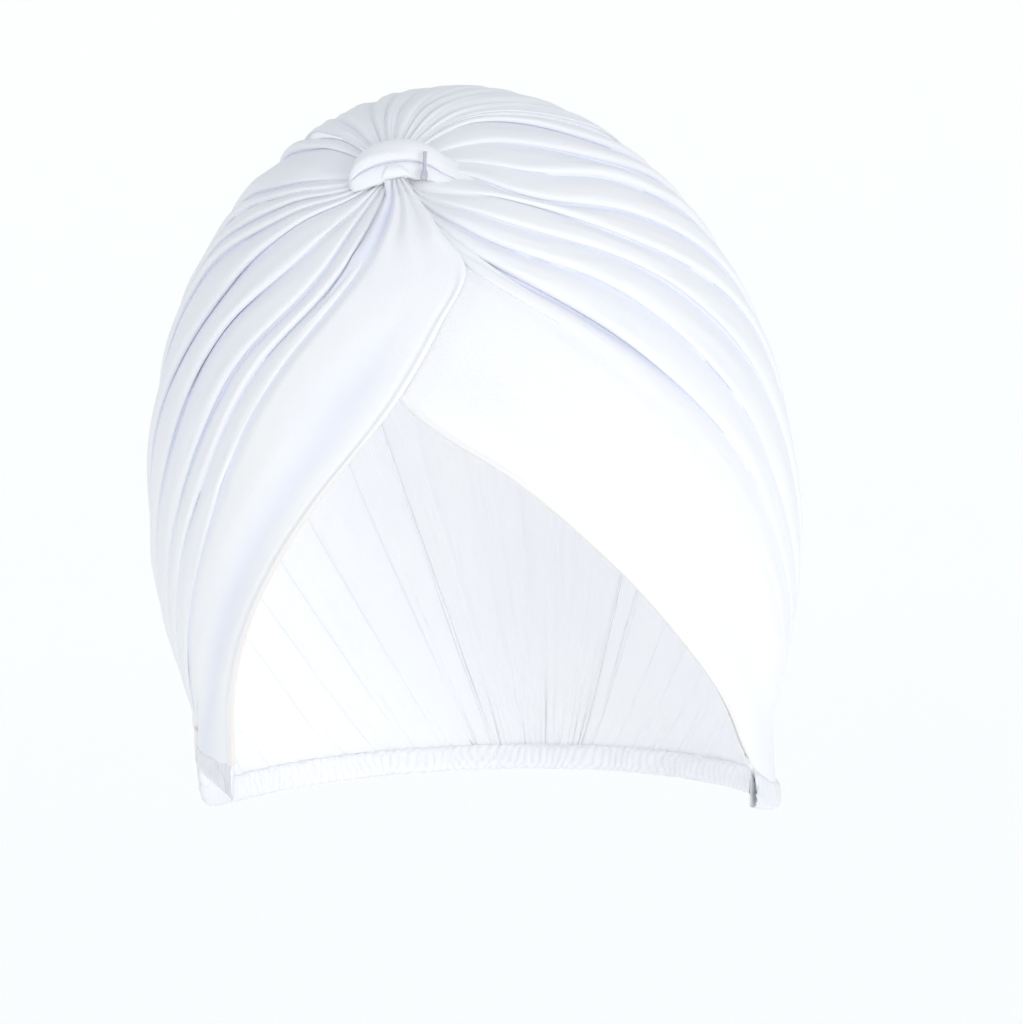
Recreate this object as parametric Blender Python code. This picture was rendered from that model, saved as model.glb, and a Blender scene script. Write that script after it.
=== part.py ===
"""A prewrapped turban: a pleated jersey cap with a plain face band, a front knot and a nape casing.

Units are metres and +Z is up. The wearer faces -Y, so the wearer's left is +X. The origin is the
middle of the head's girth, where the head fills the cap.

Places on the cap are read round the knot. A point's `turn` is its angle from the knot, seen from the
middle of the cap and growing towards the nape. Its `fan` is its direction round the knot: 0 points
down the forehead, 90 to the wearer's left and 180 back over the crown.
"""

import math

import bmesh
import bpy
from mathutils import Vector

# Head form that the cloth lies on
HALF_WIDTH = 0.0855
HALF_DEPTH = 0.101
CROWN_HEIGHT = 0.1125
LOWER_REACH = 0.117
FORWARD_LEAN = 0.095
SKIRT_WIDTH = 0.86
RIGHT_SKIRT_WIDTH = 0.92
NAPE_DEPTH = 0.66
SKIRT_EASE = 0.03

# Knot, and the point below the nape that every fold aims at
KNOT = Vector((-0.0037, -0.064, 0.094))
GATHER = Vector((0.0, 0.052, -0.102))

# Lower edge of the cloth: HEM_TILT is how far it falls for each length towards the wearer's left
HEM_CORNER = -0.060
HEM_NAPE = -0.077
CORNER_DEPTH = -0.021
HEM_SWEEP = 0.014
HEM_TILT = 0.045

# Cloth
WALL = 0.0016
GAP = 0.0004
FOLD_DEPTH = 0.0030
GATHER_DEPTH = 0.0018
SLOPE_LIMIT = 0.32
KNOT_DIMPLE = 0.0020
DIMPLE_TURN = 15.0
BAND_RISE = 0.0012
BAND_TUCK = 0.0012

# Mesh rows from the knot to the hem
ROWS = 19
ROW_CROWDING = 1.3
START_TURN = 3.6
BAND_COLUMNS = 8
FAN_GATHERS = 8

# Stations of a fold line, as turns from the knot in degrees. The last value of each line below is
# its fan angle at the hem, wherever the line meets it.
STATIONS = (5.0, 15.0, 32.0, 62.0, 100.0)

# Fan angle of each fold edge:   knot, crown, brow, side,  ear,  hem
LEFT_FOLDS = {
    "band_top":                 (20.0, 29.0, 48.0, 64.0, 73.0, 88.0),
    "brow_fold":                (26.0, 36.0, 56.0, 72.0, 80.0, 97.0),
    "temple_fold":              (32.0, 45.0, 69.0, 81.0, 87.0, 105.0),
    "long_fold":                (40.0, 58.0, 80.0, 93.0, 98.0, 113.0),
    "forked_fold":              (50.0, 73.0, 88.0, 106.0, 110.0, 122.0),
    "knot_fold":                (96.0, 80.0, 99.0, 115.0, 121.0, 131.0),
    "upper_fold":               (109.0, 95.0, 111.0, 126.0, 131.0, 140.0),
    "crown_fold":               (128.0, 117.0, 119.0, 135.0, 141.0, 149.0),
    "top_fold":                 (150.0, 138.0, 129.0, 142.0, 150.0, 158.0),
    "fan_side":                 (160.0, 147.0, 138.0, 150.0, 157.0, 165.0),
}
RIGHT_FOLDS = {
    "band_top":                 (4.0, -9.0, -31.0, -44.0, -56.0, -70.0),
    "brow_fold":                (-12.0, -19.0, -40.0, -50.0, -62.0, -78.0),
    "temple_fold":              (-30.0, -29.0, -47.0, -56.0, -68.0, -86.0),
    "open_fold":                (-38.0, -44.0, -61.0, -67.0, -76.0, -94.0),
    "rolled_fold":              (-58.0, -69.0, -74.0, -82.0, -88.0, -102.0),
    "upper_fold":               (-66.0, -79.0, -95.0, -98.0, -102.0, -112.0),
    "thin_fold":                (-75.0, -89.0, -103.0, -108.0, -113.0, -122.0),
    "small_fold":               (-84.0, -96.0, -112.0, -118.0, -123.0, -132.0),
    "crown_fold":               (-94.0, -104.0, -121.0, -129.0, -134.0, -142.0),
    "top_fold":                 (-132.0, -131.0, -138.0, -144.0, -147.0, -152.0),
    "fan_side":                 (-146.0, -143.0, -147.0, -152.0, -156.0, -161.0),
}

# Free edges of the two bands: turn from the knot, then the fan angle of each band's edge there. The
# right band crosses over the left one above the point of the V, at a turn of about 36.
BAND_EDGES = (
    # turn, right, left
    (5.0, 35.0, 8.0),
    (13.0, 31.0, 0.0),
    (20.0, 32.0, -7.0),
    (26.0, 17.5, -6.0),
    (36.0, 1.5, 5.0),
    (49.0, -15.5, 23.5),
    (66.0, -28.0, 36.0),
    (90.0, -38.0, 47.0),
)
# Fan angles at which the two face edges meet the hem
LEFT_CORNER_FAN = 59.0
RIGHT_CORNER_FAN = 41.0

# Columns of one knife fold, from its valley under the fold above to its own edge: share of the
# width, and share of the fold's depth below the top of the cloth
KNIFE_FOLD = ((0.02, 1.0), (0.30, 0.42), (0.68, 0.02), (0.94, 0.10))
# Columns of one round gather, from valley to crest
ROUND_GATHER = ((0.0, 1.0), (0.28, 0.25), (0.60, 0.05))

# Knot wrap: place along it from the wearer's right, its height on the cap, half width and thickness
KNOT_SECTIONS = (
    # across, up, half_width, thickness
    (-0.0104, -0.0016, 0.0022, 0.0010),
    (-0.0088, -0.0004, 0.0048, 0.0026),
    (-0.0050, 0.0010, 0.0060, 0.0040),
    (0.0000, 0.0016, 0.0062, 0.0044),
    (0.0050, 0.0014, 0.0058, 0.0040),
    (0.0100, 0.0012, 0.0052, 0.0033),
    (0.0150, 0.0012, 0.0044, 0.0023),
    (0.0190, 0.0010, 0.0028, 0.0010),
)
KNOT_EDGE = 0.0003
KNOT_ARC_POINTS = 9
# Fan angles about which the raised band lies where it reaches the knot
BAND_AT_KNOT = 12.5
BAND_AT_KNOT_SPREAD = 44.0
BAND_AT_KNOT_FADE = 18.0

# Nape casing
CASING_HEIGHT = 0.0070
CASING_THICKNESS = 0.0036
CASING_STATIONS = 62
CASING_SIDES = 8
CASING_GAP = 0.0016
RUCHE_SWELL = 0.09

# Clear bar that leans on the knot's lower side: its place across the cap, the places of its foot and
# top up the crown, and how much it rises off the cap for each length up the crown
BAR_RADIUS = 0.00055
BAR_ACROSS = 0.0088
BAR_FOOT = -0.0072
BAR_TOP = -0.0010
BAR_LEAN = 0.545
BAR_CLEARANCE = 0.0003

COLLECTION_NAME = "prewrapped_turban"
JERSEY_WHITE = (0.86, 0.87, 0.89)
JERSEY_BAND_WHITE = (0.88, 0.885, 0.90)
CLEAR_PLASTIC = (0.78, 0.76, 0.82)


def smooth_max(first, second, ease):
    """The larger of two values, with a rounded change from one to the other."""
    return 0.5 * (first + second + math.hypot(first - second, ease))


def ease_in(value):
    """Smooth ramp from 0 to 1 for a value from 0 to 1."""
    value = min(max(value, 0.0), 1.0)
    return value * value * (3.0 - 2.0 * value)


def mix(first, second, share):
    return first + (second - first) * share


def form_level(point):
    """How far out a point is: below 1 inside the head form, 1 on it."""
    depth = point.y + FORWARD_LEAN * point.z
    wide = (point.x / HALF_WIDTH) ** 2
    deep = (depth / HALF_DEPTH) ** 2
    if point.z > 0.0:
        return wide + deep + (point.z / CROWN_HEIGHT) ** 2
    taper = 1.0 - (point.z / LOWER_REACH) ** 2
    skirt_width = RIGHT_SKIRT_WIDTH if point.x < 0.0 else SKIRT_WIDTH
    wide /= smooth_max(taper, skirt_width ** 2, SKIRT_EASE)
    deep /= smooth_max(taper, NAPE_DEPTH ** 2, SKIRT_EASE)
    return wide + deep


MIDDLE = (KNOT + GATHER) / 2.0
AXIS = (KNOT - GATHER).normalized()
FRONT = (Vector((0.0, -1.0, 0.0)) + AXIS * AXIS.y).normalized()
LEFT = AXIS.cross(FRONT)


def direction(turn, fan):
    """Unit vector from the middle of the cap at a turn and a fan angle in degrees."""
    turn, fan = math.radians(turn), math.radians(fan)
    across = FRONT * math.cos(fan) + LEFT * math.sin(fan)
    return AXIS * math.cos(turn) + across * math.sin(turn)


def reach(turn, fan):
    """Distance from the middle of the cap to the head form."""
    ray = direction(turn, fan)
    near, far = 0.03, 0.30
    for _ in range(34):
        half = (near + far) / 2.0
        if form_level(MIDDLE + ray * half) < 1.0:
            near = half
        else:
            far = half
    return near


def cloth_point(turn, fan, height):
    """Point at a height above the head form, measured away from the middle of the cap."""
    return MIDDLE + direction(turn, fan) * (reach(turn, fan) + height)


def hem_height(point):
    """Height of the cloth's lower edge: it drops behind the corner and levels out at the nape."""
    behind = max(0.0, point.y - CORNER_DEPTH)
    level = mix(HEM_NAPE, HEM_CORNER, math.exp(-behind / HEM_SWEEP))
    return level - HEM_TILT * point.x


def hem_turn(fan):
    """Turn at which the cloth meets its lower edge."""
    low, high = 90.0, 176.0
    for _ in range(30):
        half = (low + high) / 2.0
        point = cloth_point(half, fan, 0.0)
        if point.z > hem_height(point):
            low = half
        else:
            high = half
    return low


def smooth_curve(places, values, place):
    """Value at a place on a smooth curve through the given values."""
    place = min(max(place, places[0]), places[-1])
    step = 0
    while step < len(places) - 2 and place > places[step + 1]:
        step += 1

    def slope(index):
        before, after = max(index - 1, 0), min(index + 1, len(places) - 1)
        return (values[after] - values[before]) / (places[after] - places[before])

    span = places[step + 1] - places[step]
    share = (place - places[step]) / span
    rise = values[step + 1] - values[step]
    start, end = slope(step) * span, slope(step + 1) * span
    bend = start + end - 2.0 * rise
    return values[step] + share * (start + share * (3.0 * rise - 2.0 * start - end + share * bend))


class FoldLine:
    """A line on the cap from the knot to the hem."""

    def __init__(self, turns, fans, hem_fan):
        self.hem_fan = hem_fan
        self.hem_turn = hem_turn(hem_fan)
        self.places = [math.sqrt(turn) for turn in turns] + [math.sqrt(self.hem_turn)]
        self.fans = list(fans) + [hem_fan]

    def at(self, share):
        """Turn and fan angle at a share of the way from the knot to the hem."""
        turn = mix(START_TURN, self.hem_turn, share ** ROW_CROWDING)
        return turn, smooth_curve(self.places, self.fans, math.sqrt(turn))


def fold_lines(table):
    return [FoldLine(STATIONS, fans[:-1], fans[-1]) for fans in table.values()]


def band_edge(column, corner_fan):
    turns = [row[0] for row in BAND_EDGES]
    return FoldLine(turns, [row[column] for row in BAND_EDGES], corner_fan)


def between(first, second, share, along):
    """Turn and fan angle between two lines, kept on the hem where they reach it."""
    turn_a, fan_a = first.at(along)
    turn_b, fan_b = second.at(along)
    end = hem_turn(mix(first.hem_fan, second.hem_fan, share))
    slip = end - mix(first.hem_turn, second.hem_turn, share)
    return mix(turn_a, turn_b, share) + slip * along ** 4, mix(fan_a, fan_b, share)


def girth_radius(turn, fan):
    """Distance of the cloth from the line through the knot and the gather point."""
    return reach(turn, fan) * math.sin(math.radians(turn))


def dimple(turn):
    """How far the cloth sinks where the knot draws it in."""
    return KNOT_DIMPLE * ease_in((DIMPLE_TURN - turn) / (DIMPLE_TURN - START_TURN - 2.0))


def fold_depth(full_depth, turn, width):
    """Depth of a fold: shallow at the knot and hem, and never steep for its width."""
    near_knot = mix(0.30, 1.0, ease_in((turn - START_TURN) / 22.0))
    near_hem = mix(1.0, 0.45, ease_in((turn - 95.0) / 45.0))
    return min(full_depth * near_knot * near_hem, SLOPE_LIMIT * abs(width))


RIGHT_EDGE = band_edge(1, -RIGHT_CORNER_FAN)
LEFT_EDGE = band_edge(2, LEFT_CORNER_FAN)


def tuck(turn, fan):
    """How far cloth of the wearer's left side sinks where the right band lies over it."""
    if turn > 60.0:
        return 0.0
    edge = smooth_curve(RIGHT_EDGE.places, RIGHT_EDGE.fans, math.sqrt(turn))
    clear = (fan - edge) * math.radians(1.0) * girth_radius(turn, fan)
    return BAND_TUCK * ease_in((0.0075 - clear) / 0.0055)


def wall_object(name, columns, colour, roughness=0.85):
    """Closed wall from columns of (turn, fan, height), each column running from knot to hem."""
    mesh = bmesh.new()
    skins = []
    for inset in (0.0, WALL):
        skins.append([[mesh.verts.new(cloth_point(turn, fan, height - inset))
                       for turn, fan, height in column] for column in columns])
    outer, inner = skins
    last_column, last_row = len(columns) - 1, len(columns[0]) - 1

    def face(*corners):
        mesh.faces.new(corners)

    for i in range(last_column):
        for j in range(last_row):
            face(outer[i][j], outer[i][j + 1], outer[i + 1][j + 1], outer[i + 1][j])
            face(inner[i][j], inner[i + 1][j], inner[i + 1][j + 1], inner[i][j + 1])
        for j, order in ((0, 1), (last_row, -1)):
            rim = [outer[i][j], outer[i + 1][j], inner[i + 1][j], inner[i][j]]
            face(*rim[::order])
    for j in range(last_row):
        for i, order in ((0, -1), (last_column, 1)):
            rim = [outer[i][j], outer[i][j + 1], inner[i][j + 1], inner[i][j]]
            face(*rim[::order])
    return finish_object(name, mesh, colour, roughness)


def finish_object(name, mesh, colour, roughness):
    """Put a mesh with outward faces and its own material in the turban's collection."""
    bmesh.ops.recalc_face_normals(mesh, faces=mesh.faces[:])
    data = bpy.data.meshes.new(name)
    mesh.to_mesh(data)
    mesh.free()
    data.shade_smooth()
    data.set_sharp_from_angle(angle=math.radians(50.0))
    material = bpy.data.materials.new(name)
    material.use_nodes = True
    shader = material.node_tree.nodes["Principled BSDF"]
    shader.inputs["Base Color"].default_value = (*colour, 1.0)
    shader.inputs["Roughness"].default_value = roughness
    shader.inputs["Metallic"].default_value = 0.0
    data.materials.append(material)
    item = bpy.data.objects.new(name, data)
    bpy.data.collections[COLLECTION_NAME].objects.link(item)
    return item


def inset_fan(turn, fan, side):
    """Fan angle moved half a gap to one side, so that neighbours stay clear of each other."""
    return fan + side * math.degrees(GAP / 2.0 / girth_radius(turn, fan))


def row_shares():
    return [row / (ROWS - 1) for row in range(ROWS)]


def pleated_panel(name, lines, profile, full_depth, sunk, colour):
    """Wall whose folds run between neighbouring lines, given from the lowest line up.

    Each fold's valley lies under the fold above it and its edge faces down the forehead, so the
    profile is read from the upper line of a pair to the lower one.
    """
    upward = math.copysign(1.0, lines[-1].hem_fan - lines[0].hem_fan)
    places = [(index, share, sink) for index in range(len(lines) - 1, 0, -1)
              for share, sink in profile]
    places.append((1, 1.0, 0.35))
    columns = []
    for number, (index, share, sink) in enumerate(places):
        upper, lower = lines[index], lines[index - 1]
        side = {0: -upward, len(places) - 1: upward}.get(number, 0.0)
        share = 0.0 if number == 0 else share
        column = []
        for along in row_shares():
            turn, fan = between(upper, lower, share, along)
            spread = math.radians(upper.at(along)[1] - lower.at(along)[1])
            width = girth_radius(turn, fan) * spread
            height = -sink * fold_depth(full_depth, turn, width) - dimple(turn)
            if sunk:
                height -= tuck(turn, fan)
            column.append((turn, inset_fan(turn, fan, side), height))
        columns.append(column)
    return wall_object(name, columns, colour)


def crown_fan(first, last):
    """Round gathers that run back over the crown between the two side panels."""
    columns = []
    places = [(gather + share, sink) for gather in range(FAN_GATHERS)
              for share, sink in ROUND_GATHER] + [(float(FAN_GATHERS), 1.0)]
    for number, (place, sink) in enumerate(places):
        side = {0: 1.0, len(places) - 1: -1.0}.get(number, 0.0)
        column = []
        for along in row_shares():
            turn, fan = between(first, last, place / FAN_GATHERS, along)
            spread = math.radians(last.at(along)[1] - first.at(along)[1])
            width = girth_radius(turn, fan) * spread / FAN_GATHERS
            depth = fold_depth(GATHER_DEPTH, turn, width)
            column.append((turn, inset_fan(turn, fan, side), -sink * depth - dimple(turn)))
        columns.append(column)
    return wall_object("crown_fan", columns, JERSEY_WHITE)


def face_band(name, edge, top, over):
    """Plain band between its free edge and the line where the pleats start."""
    away = math.copysign(1.0, top.hem_fan - edge.hem_fan)
    columns = []
    for number in range(BAND_COLUMNS + 1):
        share = number / BAND_COLUMNS
        side = -away if number == BAND_COLUMNS else 0.0
        column = []
        for along in row_shares():
            turn, fan = between(edge, top, share, along)
            height = -dimple(turn)
            if over:
                height += BAND_RISE * ease_in((52.0 - turn) / 16.0)
            else:
                height -= tuck(turn, fan)
            column.append((turn, inset_fan(turn, fan, side), height))
        columns.append(column)
    return wall_object(name, columns, JERSEY_BAND_WHITE)


def loft(name, sections, colour, roughness=0.85):
    """Closed solid through sections that have the same number of points."""
    mesh = bmesh.new()
    rings = [[mesh.verts.new(point) for point in section] for section in sections]
    count = len(rings[0])
    for ring, following in zip(rings, rings[1:]):
        for i in range(count):
            j = (i + 1) % count
            mesh.faces.new((ring[i], ring[j], following[j], following[i]))
    mesh.faces.new(rings[0][::-1])
    mesh.faces.new(rings[-1])
    return finish_object(name, mesh, colour, roughness)


def knot_place(across, up, height, over_band):
    """Point near the knot, from its place across the cap, up the crown and above its seat."""
    turn = math.degrees(math.hypot(across, up) / reach(0.0, 0.0))
    fan = math.degrees(math.atan2(across, -up))
    return cloth_point(turn, fan, knot_seat(turn, fan, over_band) + height)


def knot_seat(turn, fan, over_band):
    """Height of the knot's underside, just clear of the cloth below it."""
    from_band = abs((fan + 180.0) % 360.0 - 180.0 - BAND_AT_KNOT)
    on_band = ease_in((BAND_AT_KNOT_SPREAD - from_band) / BAND_AT_KNOT_FADE)
    return GAP - dimple(turn) + BAND_RISE * max(on_band, over_band)


def knot_arc(half_width, thickness):
    """Outer side of the knot in section: places across it and heights, from its lower edge up."""
    points = []
    for step in range(KNOT_ARC_POINTS):
        angle = math.pi * step / (KNOT_ARC_POINTS - 1)
        points.append((-math.cos(angle) * half_width,
                       KNOT_EDGE + thickness * math.sin(angle) ** 0.8))
    return points


def knot_wrap():
    """Loop of cloth that lies across the gathered ends: thick in the middle, thin at both ends."""
    sections = []
    for across, up, half_width, thickness in KNOT_SECTIONS:
        section = [knot_place(across, up + side, height, 1.0)
                   for side, height in knot_arc(half_width, thickness)]
        for side in (0.8, 0.3, -0.3, -0.8):
            section.append(knot_place(across, up + side * half_width, 0.0, 0.0))
        sections.append(section)
    return loft("knot_wrap", sections, JERSEY_BAND_WHITE)


def knot_size_at(across):
    """The knot wrap's place up the crown, half width and thickness at a place along it."""
    places = [row[0] for row in KNOT_SECTIONS]
    return [smooth_curve(places, [row[column] for row in KNOT_SECTIONS], across)
            for column in (1, 2, 3)]


def hem_point(fan):
    return cloth_point(hem_turn(fan), fan, -WALL / 2.0)


def nape_hem():
    """Ruched casing that follows the lower edge from one corner round the nape to the other."""
    sections = []
    for station in range(CASING_STATIONS + 1):
        share = station / CASING_STATIONS
        fan = mix(LEFT_CORNER_FAN, 360.0 - RIGHT_CORNER_FAN, share)
        step = 0.4
        place = hem_point(fan)
        run = (hem_point(fan + step) - hem_point(fan - step)).normalized()
        meridian = (cloth_point(hem_turn(fan) + step, fan, 0.0) -
                    cloth_point(hem_turn(fan) - step, fan, 0.0))
        outward = run.cross(meridian).normalized()
        if outward.dot(place - MIDDLE) < 0.0:
            outward.negate()
        down = outward.cross(run).normalized()
        if down.z > 0.0:
            down.negate()
        swell = 1.0 + RUCHE_SWELL * (1 if station % 2 else -1)
        if station in (0, CASING_STATIONS):
            swell = 0.8
        middle = place + down * (CASING_HEIGHT / 2.0 + CASING_GAP)
        section = []
        for side in range(CASING_SIDES):
            angle = 2.0 * math.pi * (side + 0.5) / CASING_SIDES
            out = math.copysign(abs(math.cos(angle)) ** 0.6, math.cos(angle))
            low = math.copysign(abs(math.sin(angle)) ** 0.6, math.sin(angle))
            section.append(middle + outward * out * CASING_THICKNESS / 2.0 * swell
                           + down * low * CASING_HEIGHT / 2.0)
        sections.append(section)
    return loft("nape_hem", sections, JERSEY_WHITE)


def tack_bar():
    """Slender clear bar that leans on the lower side of the knot, at its wearer's left end."""
    up, half_width, thickness = knot_size_at(BAR_ACROSS)
    rest = max(height - BAR_LEAN * side for side, height in knot_arc(half_width, thickness))
    rest += (BAR_CLEARANCE + BAR_RADIUS) * math.hypot(1.0, BAR_LEAN)
    foot, top = (knot_place(BAR_ACROSS, place, rest + BAR_LEAN * (place - up), 1.0)
                 for place in (BAR_FOOT, BAR_TOP))
    mesh = bmesh.new()
    bmesh.ops.create_cone(mesh, cap_ends=True, segments=10, radius1=BAR_RADIUS,
                          radius2=BAR_RADIUS, depth=(top - foot).length)
    bar = finish_object("tack_bar", mesh, CLEAR_PLASTIC, 0.25)
    bar.location = (foot + top) / 2.0
    bar.rotation_mode = "QUATERNION"
    bar.rotation_quaternion = (top - foot).to_track_quat("Z", "Y")
    return bar


def clear_scene():
    for item in list(bpy.data.objects):
        bpy.data.objects.remove(item, do_unlink=True)


def build_turban():
    clear_scene()
    collection = bpy.data.collections.new(COLLECTION_NAME)
    bpy.context.scene.collection.children.link(collection)
    left = fold_lines(LEFT_FOLDS)
    right = fold_lines(RIGHT_FOLDS)
    pleated_panel("left_drape", left, KNIFE_FOLD, FOLD_DEPTH, True, JERSEY_WHITE)
    pleated_panel("right_drape", right, KNIFE_FOLD, FOLD_DEPTH, False, JERSEY_WHITE)
    over_crown = FoldLine(STATIONS, [360.0 + fan for fan in right[-1].fans[:-1]],
                          360.0 + right[-1].hem_fan)
    crown_fan(left[-1], over_crown)
    face_band("left_band", LEFT_EDGE, left[0], False)
    face_band("right_band", RIGHT_EDGE, right[0], True)
    knot_wrap()
    nape_hem()
    tack_bar()


build_turban()
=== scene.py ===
"""Looks of a prewrapped turban: pleated jersey drapes, plain face bands, a knot and a nape casing.

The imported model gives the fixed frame: metres, +Z up, the wearer facing -Y, so the wearer's left is
+X. Every piece is drawn on the same head form and read in the same chart as the solids. A point's
turn is its angle from the knot, seen from the middle of the cap. Its fan is its direction round the
knot: 0 points down the forehead, 90 to the wearer's left and 180 back over the crown.
"""

from __future__ import annotations

import logging
import math
from dataclasses import dataclass, field
from enum import Enum

import bpy
import numpy as np
from mathutils import Matrix, Vector

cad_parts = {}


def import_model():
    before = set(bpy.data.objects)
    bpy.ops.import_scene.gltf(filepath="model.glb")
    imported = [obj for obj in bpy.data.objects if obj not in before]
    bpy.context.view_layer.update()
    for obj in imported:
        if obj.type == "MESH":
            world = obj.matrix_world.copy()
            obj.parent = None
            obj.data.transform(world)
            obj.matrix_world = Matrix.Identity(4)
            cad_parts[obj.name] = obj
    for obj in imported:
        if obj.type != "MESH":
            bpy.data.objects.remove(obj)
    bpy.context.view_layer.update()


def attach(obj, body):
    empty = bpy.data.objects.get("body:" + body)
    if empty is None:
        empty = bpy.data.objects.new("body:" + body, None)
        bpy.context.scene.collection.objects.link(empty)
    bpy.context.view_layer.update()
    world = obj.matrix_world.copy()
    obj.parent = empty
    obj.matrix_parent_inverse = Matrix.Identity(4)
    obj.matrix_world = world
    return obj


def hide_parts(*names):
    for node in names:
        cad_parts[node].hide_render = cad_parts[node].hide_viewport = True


LOG = logging.getLogger("turban")
BODY = "root"
MM = 0.001
FULL_TURN = 360.0
CLOTH_MAP = "cloth"
# Mask of painted shade, which darkens the cloth deep in its folds
FOLD_SHADE_MASK = "fold"
RIM_MASK = "rim"

Array = np.ndarray


class Side(Enum):
    """Half of the turban, as the wearer names it."""

    LEFT = 1.0
    RIGHT = -1.0


class Hold(Enum):
    """How a sheet of cloth is held."""

    FOLDED = "folded"
    GATHERED = "gathered"
    STRETCHED = "stretched"


def ease_in(value: Array) -> Array:
    """Smooth ramp from 0 to 1.

    Args:
        value: Numbers, where 0 and below give 0, and 1 and above give 1.

    Returns:
        The eased numbers.
    """
    value = np.clip(value, 0.0, 1.0)
    return value * value * (3.0 - 2.0 * value)


def mix(first: Array, second: Array, share: Array) -> Array:
    """Blend two values: share 0 gives the first and 1 the second."""
    return first + (second - first) * share


def unit(vectors: Array) -> Array:
    """Vectors of length 1 in the same directions."""
    return vectors / np.maximum(np.linalg.norm(vectors, axis=-1, keepdims=True), 1e-12)


def running_length(points: Array, axis: int) -> Array:
    """Length run from the first point to each point along one axis."""
    run = np.cumsum(np.linalg.norm(np.diff(points, axis=axis), axis=-1), axis=axis)
    return np.concatenate([np.zeros_like(run.take([0], axis)), run], axis=axis)


def smooth_curve(places: Array, values: Array, at: Array) -> Array:
    """Read a smooth curve that passes through every given value.

    Args:
        places: Rising places of the known values.
        values: The known values.
        at: Where to read the curve.

    Returns:
        The curve's value at each place asked for.
    """
    places, values = np.asarray(places, float), np.asarray(values, float)
    at = np.clip(at, places[0], places[-1])
    step = np.clip(np.searchsorted(places, at, side="left") - 1, 0, len(places) - 2)
    before = np.maximum(np.arange(len(places)) - 1, 0)
    after = np.minimum(np.arange(len(places)) + 1, len(places) - 1)
    slopes = (values[after] - values[before]) / (places[after] - places[before])
    span = places[step + 1] - places[step]
    share = (at - places[step]) / span
    rise = values[step + 1] - values[step]
    start, end = slopes[step] * span, slopes[step + 1] * span
    bend = start + end - 2.0 * rise
    return values[step] + share * (start + share * (3.0 * rise - 2.0 * start - end + share * bend))


def through_points(points: Array, finer: int) -> Array:
    """Refine a row of control points with a smooth curve through them.

    Args:
        points: Control points along the first axis.
        finer: How many steps each span is cut into.

    Returns:
        The refined points along the first axis.
    """
    padded = np.concatenate([2.0 * points[:1] - points[1:2], points, 2.0 * points[-1:] - points[-2:-1]])
    rows = []
    for step in range(finer):
        t = step / finer
        a, b, c, d = padded[:-3], padded[1:-2], padded[2:-1], padded[3:]
        rows.append(0.5 * (2.0 * b + (c - a) * t + (2.0 * a - 5.0 * b + 4.0 * c - d) * t * t
                           + (3.0 * b - a - 3.0 * c + d) * t ** 3))
    woven = np.stack(rows, axis=1).reshape(-1, *points.shape[1:])
    return np.concatenate([woven, points[-1:]])


class Ripple:
    """Smooth seeded noise over two lengths, for the small unevenness of real cloth."""

    CELLS = 64

    def __init__(self, seed: int) -> None:
        """Draw the lattice of heights for one seed."""
        self.lattice = np.random.RandomState(seed).uniform(-1.0, 1.0, (self.CELLS, self.CELLS))

    def at(self, first: Array, second: Array) -> Array:
        """Read the noise.

        Args:
            first: Coordinate in cells along the first direction.
            second: Coordinate in cells along the second direction.

        Returns:
            Heights between -1 and 1.
        """
        first, second = np.broadcast_arrays(np.asarray(first, float), np.asarray(second, float))
        low_a, low_b = np.floor(first), np.floor(second)
        share_a, share_b = ease_in(first - low_a), ease_in(second - low_b)
        a, b = low_a.astype(int) % self.CELLS, low_b.astype(int) % self.CELLS
        next_a, next_b = (a + 1) % self.CELLS, (b + 1) % self.CELLS
        near = mix(self.lattice[a, b], self.lattice[next_a, b], share_a)
        far = mix(self.lattice[a, next_b], self.lattice[next_a, next_b], share_a)
        return mix(near, far, share_b)


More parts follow.
